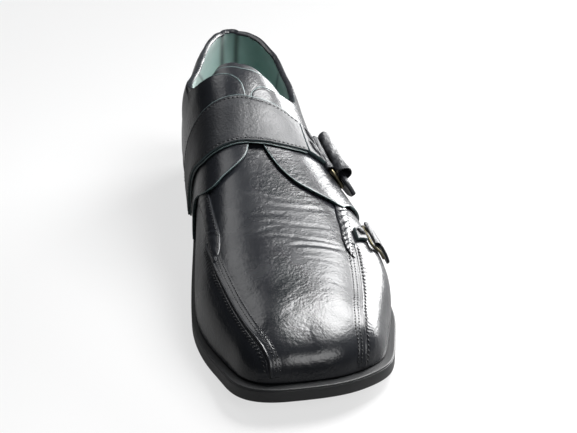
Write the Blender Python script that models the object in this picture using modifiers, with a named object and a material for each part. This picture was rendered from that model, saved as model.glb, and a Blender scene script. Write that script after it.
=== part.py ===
"""Men's square toed monk strap shoe for the left foot, as separate pieces.

Metres, +Z up, toe towards -Y, outer side of the foot towards +X, origin on the floor under the middle.
The tables are in millimetres: along is measured back from the toe tip, across from the last's long axis
towards the outer side, and height from the floor.
"""

import math

import bmesh
import bpy
import numpy as np

# Driving sizes in millimetres
MM = 0.001
MERGE = 0.00002
CENTRE_ACROSS = 4.9
CENTRE_ALONG = 153.2
GAP = 0.35
WALL = 2.0
QUARTER = 1.4
SHEET = 1.2
WELT_HEIGHT = 2.2
WELT_STEP = 0.8
OUTLINE_POINTS = 1200
SOLE_STEPS = 40
INSOLE_STEPS = 36
HEEL_STEPS = 16
INSOLE_HEIGHT = 3.0
INSOLE_CLEAR = 2.2
TOP_PIECE_HEIGHT = 6.0
HEEL_STEP = 0.9
HEEL_BREAST = 228.0
OVER_GAP = 0.85
STRAP_THICK = 2.2
QUARTER_TOP = OVER_GAP + QUARTER
STRAP_LIFT = QUARTER_TOP + GAP
SMALL_THICK = 2.0
TONGUE_THICK = 2.4
SEAM_HEIGHT = 1.3
SEAM_SHEET = 0.5
SEAM_CLEAR = 0.2
SEAM_STEPS = 18
TAB_STEPS = 12
PIPING_RADIUS = 1.2
PIPING_ABOVE = 1.7
PIPING_SIDES = 6
TONGUE_LIFT = -3.3

# The sole's edge, outer side first and then back along the inner side
SOLE_EDGE = (
    # along, across
    (0.0, -8.0),
    (2.6, 19.0),
    (8.0, 30.5),
    (18.0, 42.0),
    (30.5, 47.6),
    (46.0, 52.0),
    (64.0, 56.6),
    (82.0, 58.5),
    (102.0, 57.0),
    (125.0, 52.0),
    (150.0, 46.0),
    (180.0, 41.0),
    (215.0, 39.5),
    (250.0, 39.5),
    (275.0, 35.5),
    (293.0, 25.0),
    (302.0, 12.0),
    (304.0, 2.8),
    (302.0, -6.5),
    (293.0, -19.0),
    (275.0, -30.6),
    (250.0, -35.0),
    (215.0, -35.8),
    (180.0, -37.4),
    (150.0, -41.4),
    (125.0, -45.2),
    (102.0, -48.2),
    (82.0, -49.8),
    (64.0, -49.0),
    (46.0, -46.2),
    (29.0, -42.2),
    (16.0, -38.6),
    (7.0, -32.5),
    (2.0, -24.0),
)

# The sole from the side: its bottom, and the bed that the upper stands on
SOLE_SIDE = (
    # along, bottom, bed
    (0.0, 10.0, 17.6),
    (10.0, 8.2, 16.0),
    (20.0, 6.6, 14.6),
    (40.0, 3.8, 12.0),
    (60.0, 1.6, 10.0),
    (80.0, 0.2, 8.8),
    (88.0, 0.0, 8.6),
    (108.0, 0.0, 8.6),
    (130.0, 2.2, 10.2),
    (160.0, 6.4, 13.8),
    (200.0, 13.6, 20.5),
    (226.0, 17.8, 25.0),
    (255.0, 19.0, 27.6),
    (280.0, 20.0, 29.0),
    (304.0, 21.0, 29.8),
)

# The last's centre line over the foot, and the line above the ankle that the ribs run to
SPINE = (
    # station, across, height
    (20.0, 2.0, 34.6),
    (24.0, 1.8, 36.5),
    (40.0, 1.0, 41.5),
    (60.0, 0.0, 46.3),
    (90.0, -2.0, 54.0),
    (120.0, -4.0, 63.5),
    (149.0, -5.5, 74.5),
    (178.0, -4.0, 90.0),
    (202.0, -3.0, 103.0),
    (225.0, -1.0, 112.0),
    (250.0, 1.5, 113.0),
    (271.0, 2.8, 107.0),
)

# Each rib of the last: where it ends on the spine, how far its foot stands in from the sole's edge,
# how it leans in from upright (degrees), and how square its shoulder is
RIBS = (
    # along, station, ledge, outer lean, outer shoulder, inner lean, inner shoulder
    (0.0, 24.0, 5.5, 15.0, 3.5, 15.0, 3.5),
    (8.0, 38.0, 5.2, 14.0, 3.3, 14.0, 3.3),
    (20.0, 49.0, 4.5, 11.0, 3.1, 11.0, 3.1),
    (45.0, 66.0, 3.5, 4.0, 2.9, 5.0, 3.0),
    (80.0, 90.0, 2.2, -5.0, 2.8, 0.5, 2.9),
    (125.0, 126.0, 2.0, -5.0, 2.6, 1.5, 2.95),
    (170.0, 168.0, 2.0, -2.0, 2.3, 0.0, 2.9),
    (215.0, 208.0, 2.0, 1.0, 2.1, -6.0, 2.35),
    (250.0, 238.0, 2.0, 3.5, 2.05, -1.0, 1.85),
    (275.0, 256.0, 2.0, 1.0, 2.05, -3.5, 1.8),
    (295.0, 267.0, 2.0, -5.5, 2.3, -5.0, 2.15),
    (304.0, 271.0, 2.0, -7.5, 2.65, -7.5, 2.65),
)

# The top edge of the upper, higher on the inner side
TOPLINE = (
    # station, outer height, inner height
    (180.0, 95.0, 120.0),
    (184.0, 90.5, 120.0),
    (187.3, 84.5, 110.0),
    (193.0, 81.5, 98.8),
    (197.0, 80.6, 98.5),
    (199.0, 80.3, 95.0),
    (203.0, 80.0, 89.3),
    (208.0, 80.0, 85.0),
    (219.0, 81.5, 84.8),
    (232.0, 83.0, 86.0),
    (248.0, 84.0, 87.2),
    (263.0, 86.5, 88.8),
    (269.0, 89.5, 90.2),
    (271.0, 91.0, 91.0),
)

# The front edges of the two flaps, from the middle of the instep down to the sole, and their top corners.
# Down is measured along the rib from the spine
OUTER_FACING = (
    # station, down
    (183.0, 2.6),
    (170.0, 3.0),
    (158.0, 4.0),
    (150.6, 6.2),
    (143.2, 8.6),
    (133.4, 12.4),
    (124.1, 18.5),
    (117.7, 27.0),
    (114.0, 36.0),
    (114.6, 45.0),
    (118.0, 54.0),
    (124.0, 66.0),
    (130.0, 78.0),
    (135.0, 92.6),
)
OUTER_CORNER = (
    # station, down
    (183.0, 2.6),
    (185.6, 5.0),
    (187.4, 9.0),
    (186.4, 14.5),
    (185.0, 21.5),
    (185.2, 29.0),
    (187.6, 35.0),
)
INNER_FACING = (
    # station, down
    (184.0, 1.2),
    (170.0, 1.2),
    (160.0, 1.4),
    (153.1, 2.4),
    (146.6, 4.4),
    (141.0, 9.0),
    (135.0, 18.0),
    (132.2, 27.3),
    (131.4, 36.0),
    (131.8, 44.0),
    (134.0, 54.0),
    (137.0, 66.0),
    (140.0, 81.0),
)
INNER_CORNER = (
    # station, down
    (184.0, 1.2),
    (189.5, 2.0),
    (193.4, 4.6),
    (196.2, 9.5),
    (197.6, 15.5),
    (199.0, 23.0),
    (202.7, 33.0),
)

# The two split toe seams, from under the tabs to the toe
OUTER_SEAM = (
    # station, down
    (76.0, 38.4),
    (63.0, 36.8),
    (52.0, 35.6),
    (44.8, 35.0),
    (40.0, 37.4),
    (36.6, 41.6),
    (35.2, 45.2),
)
INNER_SEAM = (
    # station, down
    (85.0, 38.8),
    (76.3, 38.6),
    (65.9, 37.5),
    (55.3, 36.6),
    (43.8, 34.6),
    (34.1, 31.4),
    (28.0, 30.4),
    (26.0, 34.0),
)
SEAM_WIDTH = 4.4

# The slit between the quarters at the heel, their gap over the sole, and where the front opening starts
BACK_SEAM = 0.7
FOOT_GAP = 0.6
THROAT = 176.0
THROAT_SIDE = (180.0, 0.4)
CORNER_REACH = 3.0
UPPER_COLUMNS = 14
UPPER_ROWS = 22
UPPER_REAR_ROWS = 16
QUARTER_GRIDS = {"quarter_lateral": (15, 20), "quarter_medial": (19, 22)}
PIPING_START = 4.0

# The tapered tabs that come out from under the flaps and end on the seams
OUTER_TAB = (
    # station, front down, back down
    (113.0, 37.2, 45.0),
    (104.3, 35.6, 43.0),
    (96.7, 35.0, 41.4),
    (88.0, 33.6, 38.8),
    (82.4, 34.0, 37.4),
    (78.0, 36.2, 37.4),
)
INNER_TAB = (
    # station, front down, back down
    (130.6, 30.0, 41.0),
    (121.8, 30.6, 39.6),
    (111.0, 30.2, 39.0),
    (102.7, 30.0, 38.6),
    (92.2, 32.2, 38.4),
    (87.0, 36.2, 38.2),
)

# The straps, as their two edges across the foot: down is negative on the inner side
MAIN_STRAP = (
    # back down, front down, back station, front station
    (-80.0, -80.0, 184.0, 150.0),
    (-66.0, -66.0, 183.0, 149.6),
    (-50.0, -50.0, 181.6, 150.0),
    (-35.0, -35.0, 180.4, 150.8),
    (-20.0, -20.0, 180.2, 151.4),
    (-4.0, -4.0, 181.0, 152.4),
    (6.0, 6.0, 178.0, 150.8),
    (15.0, 16.0, 174.6, 148.2),
    (22.0, 24.0, 171.0, 147.2),
    (27.6, 30.2, 168.9, 147.4),
)
MAIN_PLATE = (
    # back down, front down, back station, front station
    (28.4, 31.0, 168.7, 148.4),
    (31.2, 34.6, 168.4, 147.6),
    (34.0, 38.2, 167.6, 147.2),
    (36.8, 42.0, 166.6, 147.0),
)
SMALL_STRAP = (
    # back down, front down, back station, front station
    (42.6, 42.6, 97.6, 90.2),
    (46.0, 46.0, 99.4, 92.0),
    (49.4, 49.8, 101.3, 93.5),
)
# Windows in the plate, and the buckles at the two straps' outer ends
PLATE_WINDOWS = (
    # station, down, length, width
    (161.8, 32.4, 5.4, 3.2),
    (153.0, 35.4, 5.4, 3.2),
)
RING_MAIN = (
    # station, down
    (169.5, 40.6),
    (141.5, 45.8),
    (142.0, 57.0),
    (166.0, 54.0),
)
BAR_MAIN = (
    # station, down
    (172.4, 44.4),
    (157.0, 47.0),
    (141.4, 49.8),
)
TAIL_MAIN = (
    # back down, front down, back station, front station
    (52.2, 55.2, 162.0, 133.6),
    (55.0, 56.8, 162.5, 133.0),
    (58.0, 58.4, 161.5, 134.6),
    (61.5, 61.2, 158.0, 139.0),
    (63.4, 63.2, 153.0, 144.0),
)
RING_SMALL = (
    # station, down
    (104.0, 50.6),
    (91.4, 52.6),
    (95.0, 66.6),
    (107.6, 64.6),
)
BAR_SMALL = (
    # station, down
    (105.0, 52.0),
    (92.0, 54.6),
)
TAIL_SMALL = (
    # back down, front down, back station, front station
    (57.0, 59.2, 105.4, 95.4),
    (62.0, 64.0, 107.4, 94.4),
    (67.0, 68.0, 107.4, 94.4),
    (71.0, 71.6, 105.6, 96.8),
)
RING_WIRE = 2.5
BAR_WIDTH = 8.4
BAR_HEIGHT = 6.8
TAIL_THICK = 2.6
SMALL_WIRE = 1.6
SMALL_BAR_WIDTH = 5.0
SMALL_BAR_HEIGHT = 2.4
SMALL_TAIL_THICK = 1.5

# The tongue's top edge, from the outer side round to the inner side
TONGUE_TOP = (
    # down, station
    (31.0, 184.0),
    (25.0, 190.0),
    (14.0, 196.6),
    (4.0, 201.6),
    (-5.0, 204.0),
    (-13.0, 203.6),
    (-21.0, 201.0),
    (-28.0, 196.4),
    (-32.0, 190.0),
)
TONGUE_FOOT = 150.0
TONGUE_TAPER = 0.78


def smooth_rows(rows, at):
    """Read a table at any place: cubic pieces through its rows, whose slopes never overshoot a row."""
    table = np.asarray(rows, float)
    x = table[:, 0]
    y = table[:, 1:]
    step = np.diff(x)[:, None]
    rise = np.diff(y, axis=0) / step
    slope = np.zeros_like(y)
    before = 2 * step[1:] + step[:-1]
    after = step[1:] + 2 * step[:-1]
    same_way = rise[:-1] * rise[1:] > 0
    safe_before = np.where(same_way, rise[:-1], 1.0)
    safe_after = np.where(same_way, rise[1:], 1.0)
    mean = (before + after) / (before / safe_before + after / safe_after)
    slope[1:-1] = np.where(same_way, mean, 0.0)
    slope[0] = rise[0]
    slope[-1] = rise[-1]
    at = np.clip(np.asarray(at, float), x[0], x[-1])
    i = np.clip(np.searchsorted(x, at, side="right") - 1, 0, len(x) - 2)
    width = (x[i + 1] - x[i])[..., None]
    t = (at - x[i])[..., None] / width
    return (
        (1 + 2 * t) * (1 - t) ** 2 * y[i]
        + t * (1 - t) ** 2 * width * slope[i]
        + t * t * (3 - 2 * t) * y[i + 1]
        + t * t * (t - 1) * width * slope[i + 1]
    )


def smooth_path(points, count):
    """Points evenly spaced by length on a smooth curve through the given points."""
    points = np.asarray(points, float)
    length = np.concatenate([[0.0], np.cumsum(np.linalg.norm(np.diff(points, axis=0), axis=1))])
    fine = smooth_rows(np.column_stack([length, points]), np.linspace(0.0, length[-1], 40 * len(points)))
    return even_points(fine, count)


def even_points(points, count):
    """Points spaced evenly by length along a fine line of points."""
    length = np.concatenate([[0.0], np.cumsum(np.linalg.norm(np.diff(points, axis=0), axis=1))])
    wanted = np.linspace(0.0, length[-1], count)
    return np.column_stack([np.interp(wanted, length, column) for column in points.T])


def closed_curve(points, count):
    """Closed cubic spline through the points, spaced by chord, as count points even by length."""
    knots = np.asarray(points, float)
    total = len(knots)
    chord = np.linalg.norm(np.roll(knots, -1, axis=0) - knots, axis=1)
    previous = np.roll(chord, 1)
    rise = (np.roll(knots, -1, axis=0) - knots) / chord[:, None]
    index = np.arange(total)
    matrix = np.zeros((total, total))
    matrix[index, index] = 2 * (chord + previous)
    matrix[index, (index + 1) % total] = previous
    matrix[index, (index - 1) % total] = chord
    right = 3 * (previous[:, None] * rise + chord[:, None] * np.roll(rise, 1, axis=0))
    slope = np.linalg.solve(matrix, right)
    t = np.linspace(0.0, 1.0, 60, endpoint=False)[:, None, None]
    ends = np.roll(knots, -1, axis=0)
    end_slope = np.roll(slope, -1, axis=0)
    width = chord[:, None]
    fine = (
        (1 + 2 * t) * (1 - t) ** 2 * knots
        + t * (1 - t) ** 2 * width * slope
        + t * t * (3 - 2 * t) * ends
        + t * t * (t - 1) * width * end_slope
    )
    fine = fine.transpose(1, 0, 2).reshape(-1, 2)
    return even_points(np.vstack([fine, fine[:1]]), count + 1)[:-1]


def inset_outline(outline, distance):
    """Move a closed outline inwards along its own normal."""
    tangent = np.roll(outline, -1, axis=0) - np.roll(outline, 1, axis=0)
    tangent /= np.linalg.norm(tangent, axis=1)[:, None]
    inward = np.column_stack([tangent[:, 1], -tangent[:, 0]])
    if np.mean(np.sum((outline.mean(axis=0) - outline) * inward, axis=1)) < 0:
        inward = -inward
    return outline + inward * np.broadcast_to(distance, len(outline))[:, None]


def world(points):
    """Turn across, along and height in millimetres into metres in the object's frame."""
    points = np.asarray(points, float)
    return (points - np.array([CENTRE_ACROSS, CENTRE_ALONG, 0.0])) * MM


class Side:
    """One side of the last: a grid of ribs by station, each even by length from foot to spine."""

    def __init__(self, outer, rib_count=420, steps=140):
        edge = closed_curve(SOLE_EDGE, 3000)
        heel = int(np.argmax(edge[:, 0]))
        toe = int(np.argmin(edge[:, 0]))
        rounds = np.arange(toe, heel + 1) if outer else np.arange(toe + len(edge), heel - 1, -1)
        rounds = rounds % len(edge)
        ledge = smooth_rows(RIBS, edge[:, 0])[:, 1]
        foot = even_points(inset_outline(edge, ledge)[rounds], rib_count)
        self.edge = even_points(edge[rounds], rib_count)
        station = np.maximum.accumulate(smooth_rows(RIBS, self.edge[:, 0])[:, 0])
        self.station = station + np.linspace(0.0, 1e-6, rib_count)
        lean_column = 2 if outer else 4
        rib = smooth_rows(RIBS, self.edge[:, 0])
        lean = np.radians(rib[:, lean_column])
        power = 2.0 / rib[:, lean_column + 1]
        bed = smooth_rows(SOLE_SIDE, foot[:, 0])[:, 1] + GAP + WALL * np.maximum(0.0, np.sin(lean))
        spine = smooth_rows(SPINE, self.station)
        slope = (smooth_rows(SPINE, self.station + 0.5) - smooth_rows(SPINE, self.station - 0.5))[:, 1]
        run = np.column_stack([spine[:, 0] - foot[:, 1], self.station - foot[:, 0]])
        reach = np.linalg.norm(run, axis=1)
        heading = run / reach[:, None]
        slope = slope * heading[:, 1]
        rise = spine[:, 1] - bed
        wall = (rise - slope * reach) / (np.cos(lean) - slope * np.sin(lean))
        roof = reach - wall * np.sin(lean)
        turn = np.linspace(0.0, math.pi / 2, 500)
        up = np.sin(turn)[None, :] ** power[:, None]
        over = 1.0 - np.cos(turn)[None, :] ** power[:, None]
        inward = (wall * np.sin(lean))[:, None] * up + roof[:, None] * over
        height = bed[:, None] + (wall * np.cos(lean))[:, None] * up + (slope * roof)[:, None] * over
        across = foot[:, 1, None] + heading[:, 0, None] * inward
        along = foot[:, 0, None] + heading[:, 1, None] * inward
        ribs = np.stack([across, along, height], axis=2)
        self.points = np.stack([even_points(rib_points, steps) for rib_points in ribs])
        self.girth = np.linalg.norm(np.diff(self.points, axis=1), axis=2).sum(axis=1)
        normal = np.cross(np.gradient(self.points, axis=0), np.gradient(self.points, axis=1))
        normal /= np.linalg.norm(normal, axis=2)[..., None] + 1e-12
        self.normals = normal if outer else -normal
        self.steps = steps

    def total(self, station):
        """Length of the rib at a station, from the sole to the spine."""
        return np.interp(station, self.station, self.girth)

    def row_of(self, station):
        """The rib's place in the grid, which is even along the sole's edge."""
        return np.interp(station, self.station, np.arange(len(self.station)))

    def at(self, station, down, lift=0.0):
        """Points on the side, by station and by length down from the spine, lifted off the last."""
        return self.at_row(self.row_of(station), down, lift)

    def at_row(self, row, down, lift=0.0):
        """Points on the side, by place in the grid and by length down from the spine."""
        row, down = np.broadcast_arrays(np.asarray(row, float), np.asarray(down, float))
        row = np.minimum(row, len(self.station) - 1.000001)
        total = np.interp(row, np.arange(len(self.station)), self.girth)
        column = np.clip(1.0 - down / total, 0.0, 1.0) * (self.steps - 1)
        column = np.minimum(column, self.steps - 1.000001)
        i = row.astype(int)
        j = column.astype(int)
        s = (row - i)[..., None]
        t = (column - j)[..., None]

        def blend(grid):
            low = grid[i, j] * (1 - t) + grid[i, j + 1] * t
            high = grid[i + 1, j] * (1 - t) + grid[i + 1, j + 1] * t
            return low * (1 - s) + high * s

        normal = blend(self.normals)
        normal /= np.linalg.norm(normal, axis=-1)[..., None]
        return blend(self.points) + normal * np.asarray(lift, float)[..., None]

    def balanced(self, row, count):
        """Lengths down a rib that share out its length and its bending evenly: closer at the shoulder."""
        rib = self.at_row(row, np.linspace(0.0, 1.0, 200) * np.interp(row, np.arange(len(self.girth)), self.girth))
        step = np.diff(rib, axis=0)
        length = np.linalg.norm(step, axis=1)
        heading = step / length[:, None]
        bend = np.arccos(np.clip(np.sum(heading[1:] * heading[:-1], axis=1), -1.0, 1.0))
        bend = np.concatenate([[0.0], np.convolve(bend, np.ones(21) / 21, mode="same")])
        weight = length / length.sum() + bend / bend.sum()
        place = np.concatenate([[0.0], np.cumsum(weight)]) / weight.sum()
        down = np.concatenate([[0.0], np.cumsum(length)])
        return np.interp(np.linspace(0.0, 1.0, count), place, down)

    def spacing(self):
        """Length of sole edge between one rib and the next."""
        return float(np.linalg.norm(self.edge[1] - self.edge[0]))

    def down_at_height(self, station, height):
        """Length down from the spine to where each rib passes a height, or zero where it stays below."""
        found = []
        for one_station, one_height in zip(station, height):
            down = np.linspace(0.0, self.total(one_station), 400)
            rib = self.at(np.full(400, one_station), down)
            below = np.nonzero(rib[:, 2] <= one_height)[0]
            found.append(down[below[0]] if len(below) else down[-1])
        return np.array(found)


OUTER = Side(True)
INNER = Side(False)


def on_last(station, down, lift=0.0):
    """Points on the last, with down negative on the inner side."""
    station, down, lift = np.broadcast_arrays(
        np.asarray(station, float), np.asarray(down, float), np.asarray(lift, float)
    )
    outer = OUTER.at(station, np.abs(down), lift)
    inner = INNER.at(station, np.abs(down), lift)
    return np.where((down >= 0)[..., None], outer, inner)


def topline_down(side, station):
    """How far the top edge lies below the spine on one side."""
    column = 0 if side is OUTER else 1
    height = smooth_rows(TOPLINE, station)[:, column]
    return side.down_at_height(station, height)


def clear_scene():
    """Remove every object that the file starts with."""
    for item in list(bpy.data.objects):
        bpy.data.objects.remove(item, do_unlink=True)


def new_collection(name):
    """Make a collection in the scene."""
    collection = bpy.data.collections.new(name)
    bpy.context.scene.collection.children.link(collection)
    return collection


def finish_material(name, colour, roughness, metallic=0.0):
    """Plain Principled material of one finish."""
    material = bpy.data.materials.new(name)
    material.use_nodes = True
    shader = material.node_tree.nodes["Principled BSDF"]
    shader.inputs["Base Color"].default_value = (*colour, 1.0)
    shader.inputs["Roughness"].default_value = roughness
    shader.inputs["Metallic"].default_value = metallic
    return material


FINISHES = {
    # colour, roughness, metallic
    "black_leather": ((0.012, 0.012, 0.013), 0.35, 0.0),
    "black_rubber": ((0.010, 0.010, 0.011), 0.45, 0.0),
    "grey_lining": ((0.20, 0.28, 0.27), 0.8, 0.0),
    "aged_brass": ((0.42, 0.36, 0.22), 0.35, 1.0),
}


def add_object(name, mesh, finish):
    """Link a mesh as a named object with its own material."""
    item = bpy.data.objects.new(name, mesh)
    item.data.materials.append(finish_material(name + "_" + finish, *FINISHES[finish]))
    SHOE.objects.link(item)
    return item


def shade(item):
    """Smooth shading with sharp edges where the form turns hard."""
    item.data.shade_smooth()
    item.data.set_sharp_from_angle(angle=math.radians(40))


def grid_mesh(name, grids):
    """Join grids of points into one open surface: faces look to the side of rows crossed with columns."""
    builder = bmesh.new()
    for grid in grids:
        rows, columns = grid.shape[:2]
        vertices = [builder.verts.new(point) for point in world(grid).reshape(-1, 3)]
        for row in range(rows - 1):
            for column in range(columns - 1):
                corner = row * columns + column
                ring = (corner, corner + columns, corner + columns + 1, corner + 1)
                builder.faces.new([vertices[index] for index in ring])
    bmesh.ops.remove_doubles(builder, verts=builder.verts, dist=MERGE)
    bmesh.ops.dissolve_degenerate(builder, edges=builder.edges, dist=MERGE)
    mesh = bpy.data.meshes.new(name)
    builder.to_mesh(mesh)
    builder.free()
    return mesh


def add_shell(name, grids, thickness, finish="black_leather"):
    """A sheet of even thickness whose outer face is the given surface."""
    item = add_object(name, grid_mesh(name, grids), finish)
    wall = item.modifiers.new("wall", "SOLIDIFY")
    wall.thickness = thickness * MM
    wall.offset = -1.0
    wall.use_rim = True
    shade(item)
    return item


def add_slab(name, outer_line, inner_line, top, bottom, finish):
    """A slab between two edge lines that meet at both ends: top and bottom are heights by along."""
    ends = np.abs(outer_line - inner_line).max(axis=1) < 0.01
    builder = bmesh.new()
    rings = []
    for height in (bottom, top):
        pairs = []
        for outer_point, inner_point, joined in zip(outer_line, inner_line, ends):
            made = []
            for along, across in ((outer_point,) if joined else (outer_point, inner_point)):
                place = world((across, along, float(height(np.array([along]))[0])))
                made.append(builder.verts.new(place))
            pairs.append((made[0], made[-1]))
        rings.append(pairs)
    low, high = rings
    count = len(outer_line)
    for k in range(count - 1):
        for ring, upward in ((low, False), (high, True)):
            corners = [ring[k][0], ring[k + 1][0], ring[k + 1][1], ring[k][1]]
            corners = list(dict.fromkeys(corners))
            if not upward:
                corners.reverse()
            builder.faces.new(corners)
        for side in (0, 1):
            corners = [low[k][side], low[k + 1][side], high[k + 1][side], high[k][side]]
            if side == 0:
                corners.reverse()
            builder.faces.new(corners)
    if not ends[0]:
        builder.faces.new([low[0][0], low[0][1], high[0][1], high[0][0]])
    bmesh.ops.recalc_face_normals(builder, faces=builder.faces)
    mesh = bpy.data.meshes.new(name)
    builder.to_mesh(mesh)
    builder.free()
    item = add_object(name, mesh, finish)
    shade(item)
    return item


def side_lines(outline, count, start=None):
    """A closed outline's outer and inner lines from toe to heel, as evenly spaced matching points."""
    toe = int(np.argmin(outline[:, 0]))
    heel = int(np.argmax(outline[:, 0]))
    outer = outline[toe:heel + 1]
    inner = np.roll(outline, -heel, axis=0)[:(toe - heel) % len(outline) + 1][::-1]
    lines = []
    for line in (outer, inner):
        if start is not None:
            first = (start, np.interp(start, line[:, 0], line[:, 1]))
            line = np.vstack([first, line[line[:, 0] > start]])
        lines.append(even_points(line, count))
    return lines


def sole_bottom(along):
    """Height of the outsole's underside."""
    return smooth_rows(SOLE_SIDE, along)[:, 0]


def sole_bed(along):
    """Height of the bed that the upper stands on."""
    return smooth_rows(SOLE_SIDE, along)[:, 1]


def make_sole():
    """Outsole, welt, insole, heel block and top piece."""
    edge = closed_curve(SOLE_EDGE, OUTLINE_POINTS)
    outer, inner = side_lines(edge, SOLE_STEPS)
    add_slab("outsole", outer, inner, lambda a: sole_bed(a) - WELT_HEIGHT - GAP, sole_bottom, "black_rubber")
    outer, inner = side_lines(inset_outline(edge, WELT_STEP), SOLE_STEPS)
    add_slab("welt", outer, inner, sole_bed, lambda a: sole_bed(a) - WELT_HEIGHT, "black_rubber")
    ledge = smooth_rows(RIBS, edge[:, 0])[:, 1]
    outer, inner = side_lines(inset_outline(edge, ledge + WALL + INSOLE_CLEAR), INSOLE_STEPS)
    add_slab("insole", outer, inner, lambda a: sole_bed(a) + GAP + INSOLE_HEIGHT,
             lambda a: sole_bed(a) + GAP, "grey_lining")
    outer, inner = side_lines(inset_outline(edge, HEEL_STEP), HEEL_STEPS, HEEL_BREAST)
    add_slab("heel_block", outer, inner, lambda a: sole_bottom(a) - GAP,
             lambda a: np.full(len(a), TOP_PIECE_HEIGHT + GAP), "black_rubber")
    add_slab("heel_top_piece", outer, inner, lambda a: np.full(len(a), TOP_PIECE_HEIGHT),
             lambda a: np.zeros(len(a)), "black_rubber")


def rear_patch(side, corner):
    """The upper's grid round one side of the opening, from the throat to the heel."""
    throat = side.balanced(side.row_of(THROAT), UPPER_COLUMNS)
    facing = np.column_stack([np.full(UPPER_COLUMNS, THROAT), throat])
    rim = np.vstack([(THROAT, 0.0), THROAT_SIDE, np.asarray(corner)[1:]])
    return patch(side, facing, rim, UPPER_COLUMNS, UPPER_REAR_ROWS, 0.0, 0.0)


def make_upper():
    """The hollow upper: whole sections over the front, and a patch round each side of the opening."""
    grids = []
    front = np.linspace(0.0, OUTER.row_of(THROAT), UPPER_ROWS)
    front_stations = np.interp(front, np.arange(len(OUTER.station)), OUTER.station)
    for side, corner in ((OUTER, OUTER_CORNER), (INNER, INNER_CORNER)):
        row = side.row_of(front_stations)
        down = np.stack([side.balanced(place, UPPER_COLUMNS)[::-1] for place in row])
        grids.append(side.at_row(row[:, None], down))
        rear_row, rear_down = rear_patch(side, corner)
        grids.append(side.at_row(rear_row, rear_down)[:, ::-1])
        if side is INNER:
            grids[-2:] = [grid[:, ::-1] for grid in grids[-2:]]
    add_shell("upper", grids, WALL)


def patch(side, facing, corner, rows, columns, back_gap, foot_gap):
    """Grid over one quarter, as places in the rib grid and lengths down: its four edges, blended."""
    facing = np.asarray(facing, float)
    corner = np.asarray(corner, float)
    last_row = side.row_of(RIBS[-1][1]) - back_gap / side.spacing()
    back_rows = np.linspace(side.row_of(corner[-1, 0] + CORNER_REACH), last_row, 14)
    back_stations = np.interp(back_rows, np.arange(len(side.station)), side.station)
    top_line = np.vstack([
        np.column_stack([side.row_of(corner[:, 0]), corner[:, 1]]),
        np.column_stack([back_rows, topline_down(side, back_stations)]),
    ])
    bottom_rows = np.linspace(side.row_of(facing[-1, 0]), last_row, 40)
    bottom_stations = np.interp(bottom_rows, np.arange(len(side.station)), side.station)
    bottom_line = np.column_stack([bottom_rows, side.total(bottom_stations) - foot_gap])
    front_line = np.column_stack([side.row_of(facing[:, 0]), facing[:, 1]])
    front_line[-1] = bottom_line[0]
    top = smooth_path(top_line, columns)
    bottom = even_points(bottom_line, columns)
    front = front_line if len(front_line) == rows else smooth_path(front_line, rows)
    back = even_points(np.array([top[-1], bottom[-1]]), rows)
    a = np.linspace(0.0, 1.0, columns)[:, None, None]
    b = np.linspace(0.0, 1.0, rows)[None, :, None]
    blended = (
        (1 - b) * top[:, None] + b * bottom[:, None] + (1 - a) * front[None] + a * back[None]
        - (1 - a) * (1 - b) * top[0] - a * (1 - b) * top[-1] - (1 - a) * b * bottom[0] - a * b * bottom[-1]
    )
    return blended[..., 0], blended[..., 1]


def make_quarters():
    """The two quarters: each runs from its flap on the instep to the heel."""
    for name, side, facing, corner in (
        ("quarter_lateral", OUTER, OUTER_FACING, OUTER_CORNER),
        ("quarter_medial", INNER, INNER_FACING, INNER_CORNER),
    ):
        rows, columns = QUARTER_GRIDS[name]
        row, down = patch(side, facing, corner, rows, columns, BACK_SEAM, FOOT_GAP)
        grid = side.at_row(row, down, QUARTER_TOP)
        add_shell(name, [grid[:, ::-1] if side is OUTER else grid], QUARTER)


def ribbon(path, width, lift, across_steps=4):
    """Grid of a narrow strip along a path on the last, with a rounded top: path in station and down."""
    middle = on_last(path[:, 0], path[:, 1], 0.0)
    near = on_last(path[:, 0], path[:, 1], 1.0)
    normal = near - middle
    tangent = np.gradient(middle, axis=0)
    tangent /= np.linalg.norm(tangent, axis=1)[:, None]
    sideways = np.cross(normal, tangent)
    share = np.linspace(-1.0, 1.0, across_steps + 1)
    crown = np.sqrt(np.maximum(0.0, 1.0 - share ** 2))
    raised = lift + (SEAM_HEIGHT - SEAM_SHEET) * crown
    return (
        middle[:, None]
        + sideways[:, None] * (share * width / 2)[None, :, None]
        + normal[:, None] * raised[None, :, None]
    )


def make_seams():
    """The two raised split toe seams."""
    for name, rows, sign in (("seam_lateral", OUTER_SEAM, 1.0), ("seam_medial", INNER_SEAM, -1.0)):
        path = smooth_path(rows, SEAM_STEPS) * np.array([1.0, sign])
        grid = ribbon(path, SEAM_WIDTH, GAP + SEAM_SHEET + SEAM_CLEAR)
        add_shell(name, [grid], SEAM_SHEET)


def make_tabs():
    """The tapered tabs at the top of each seam."""
    for name, rows, sign in (("tab_lateral", OUTER_TAB, 1.0), ("tab_medial", INNER_TAB, -1.0)):
        table = np.asarray(rows, float)[::-1]
        station = np.linspace(table[0, 0], table[-1, 0], TAB_STEPS)
        edges = smooth_rows(table, station)
        share = np.linspace(0.0, 1.0, 4)
        down = edges[:, 0, None] + (edges[:, 1] - edges[:, 0])[:, None] * share
        grid = on_last(station[:, None] + 0.0 * down, down * sign, GAP + SHEET)
        add_shell(name, [grid[:, ::-1] if sign > 0 else grid], SHEET)


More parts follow.
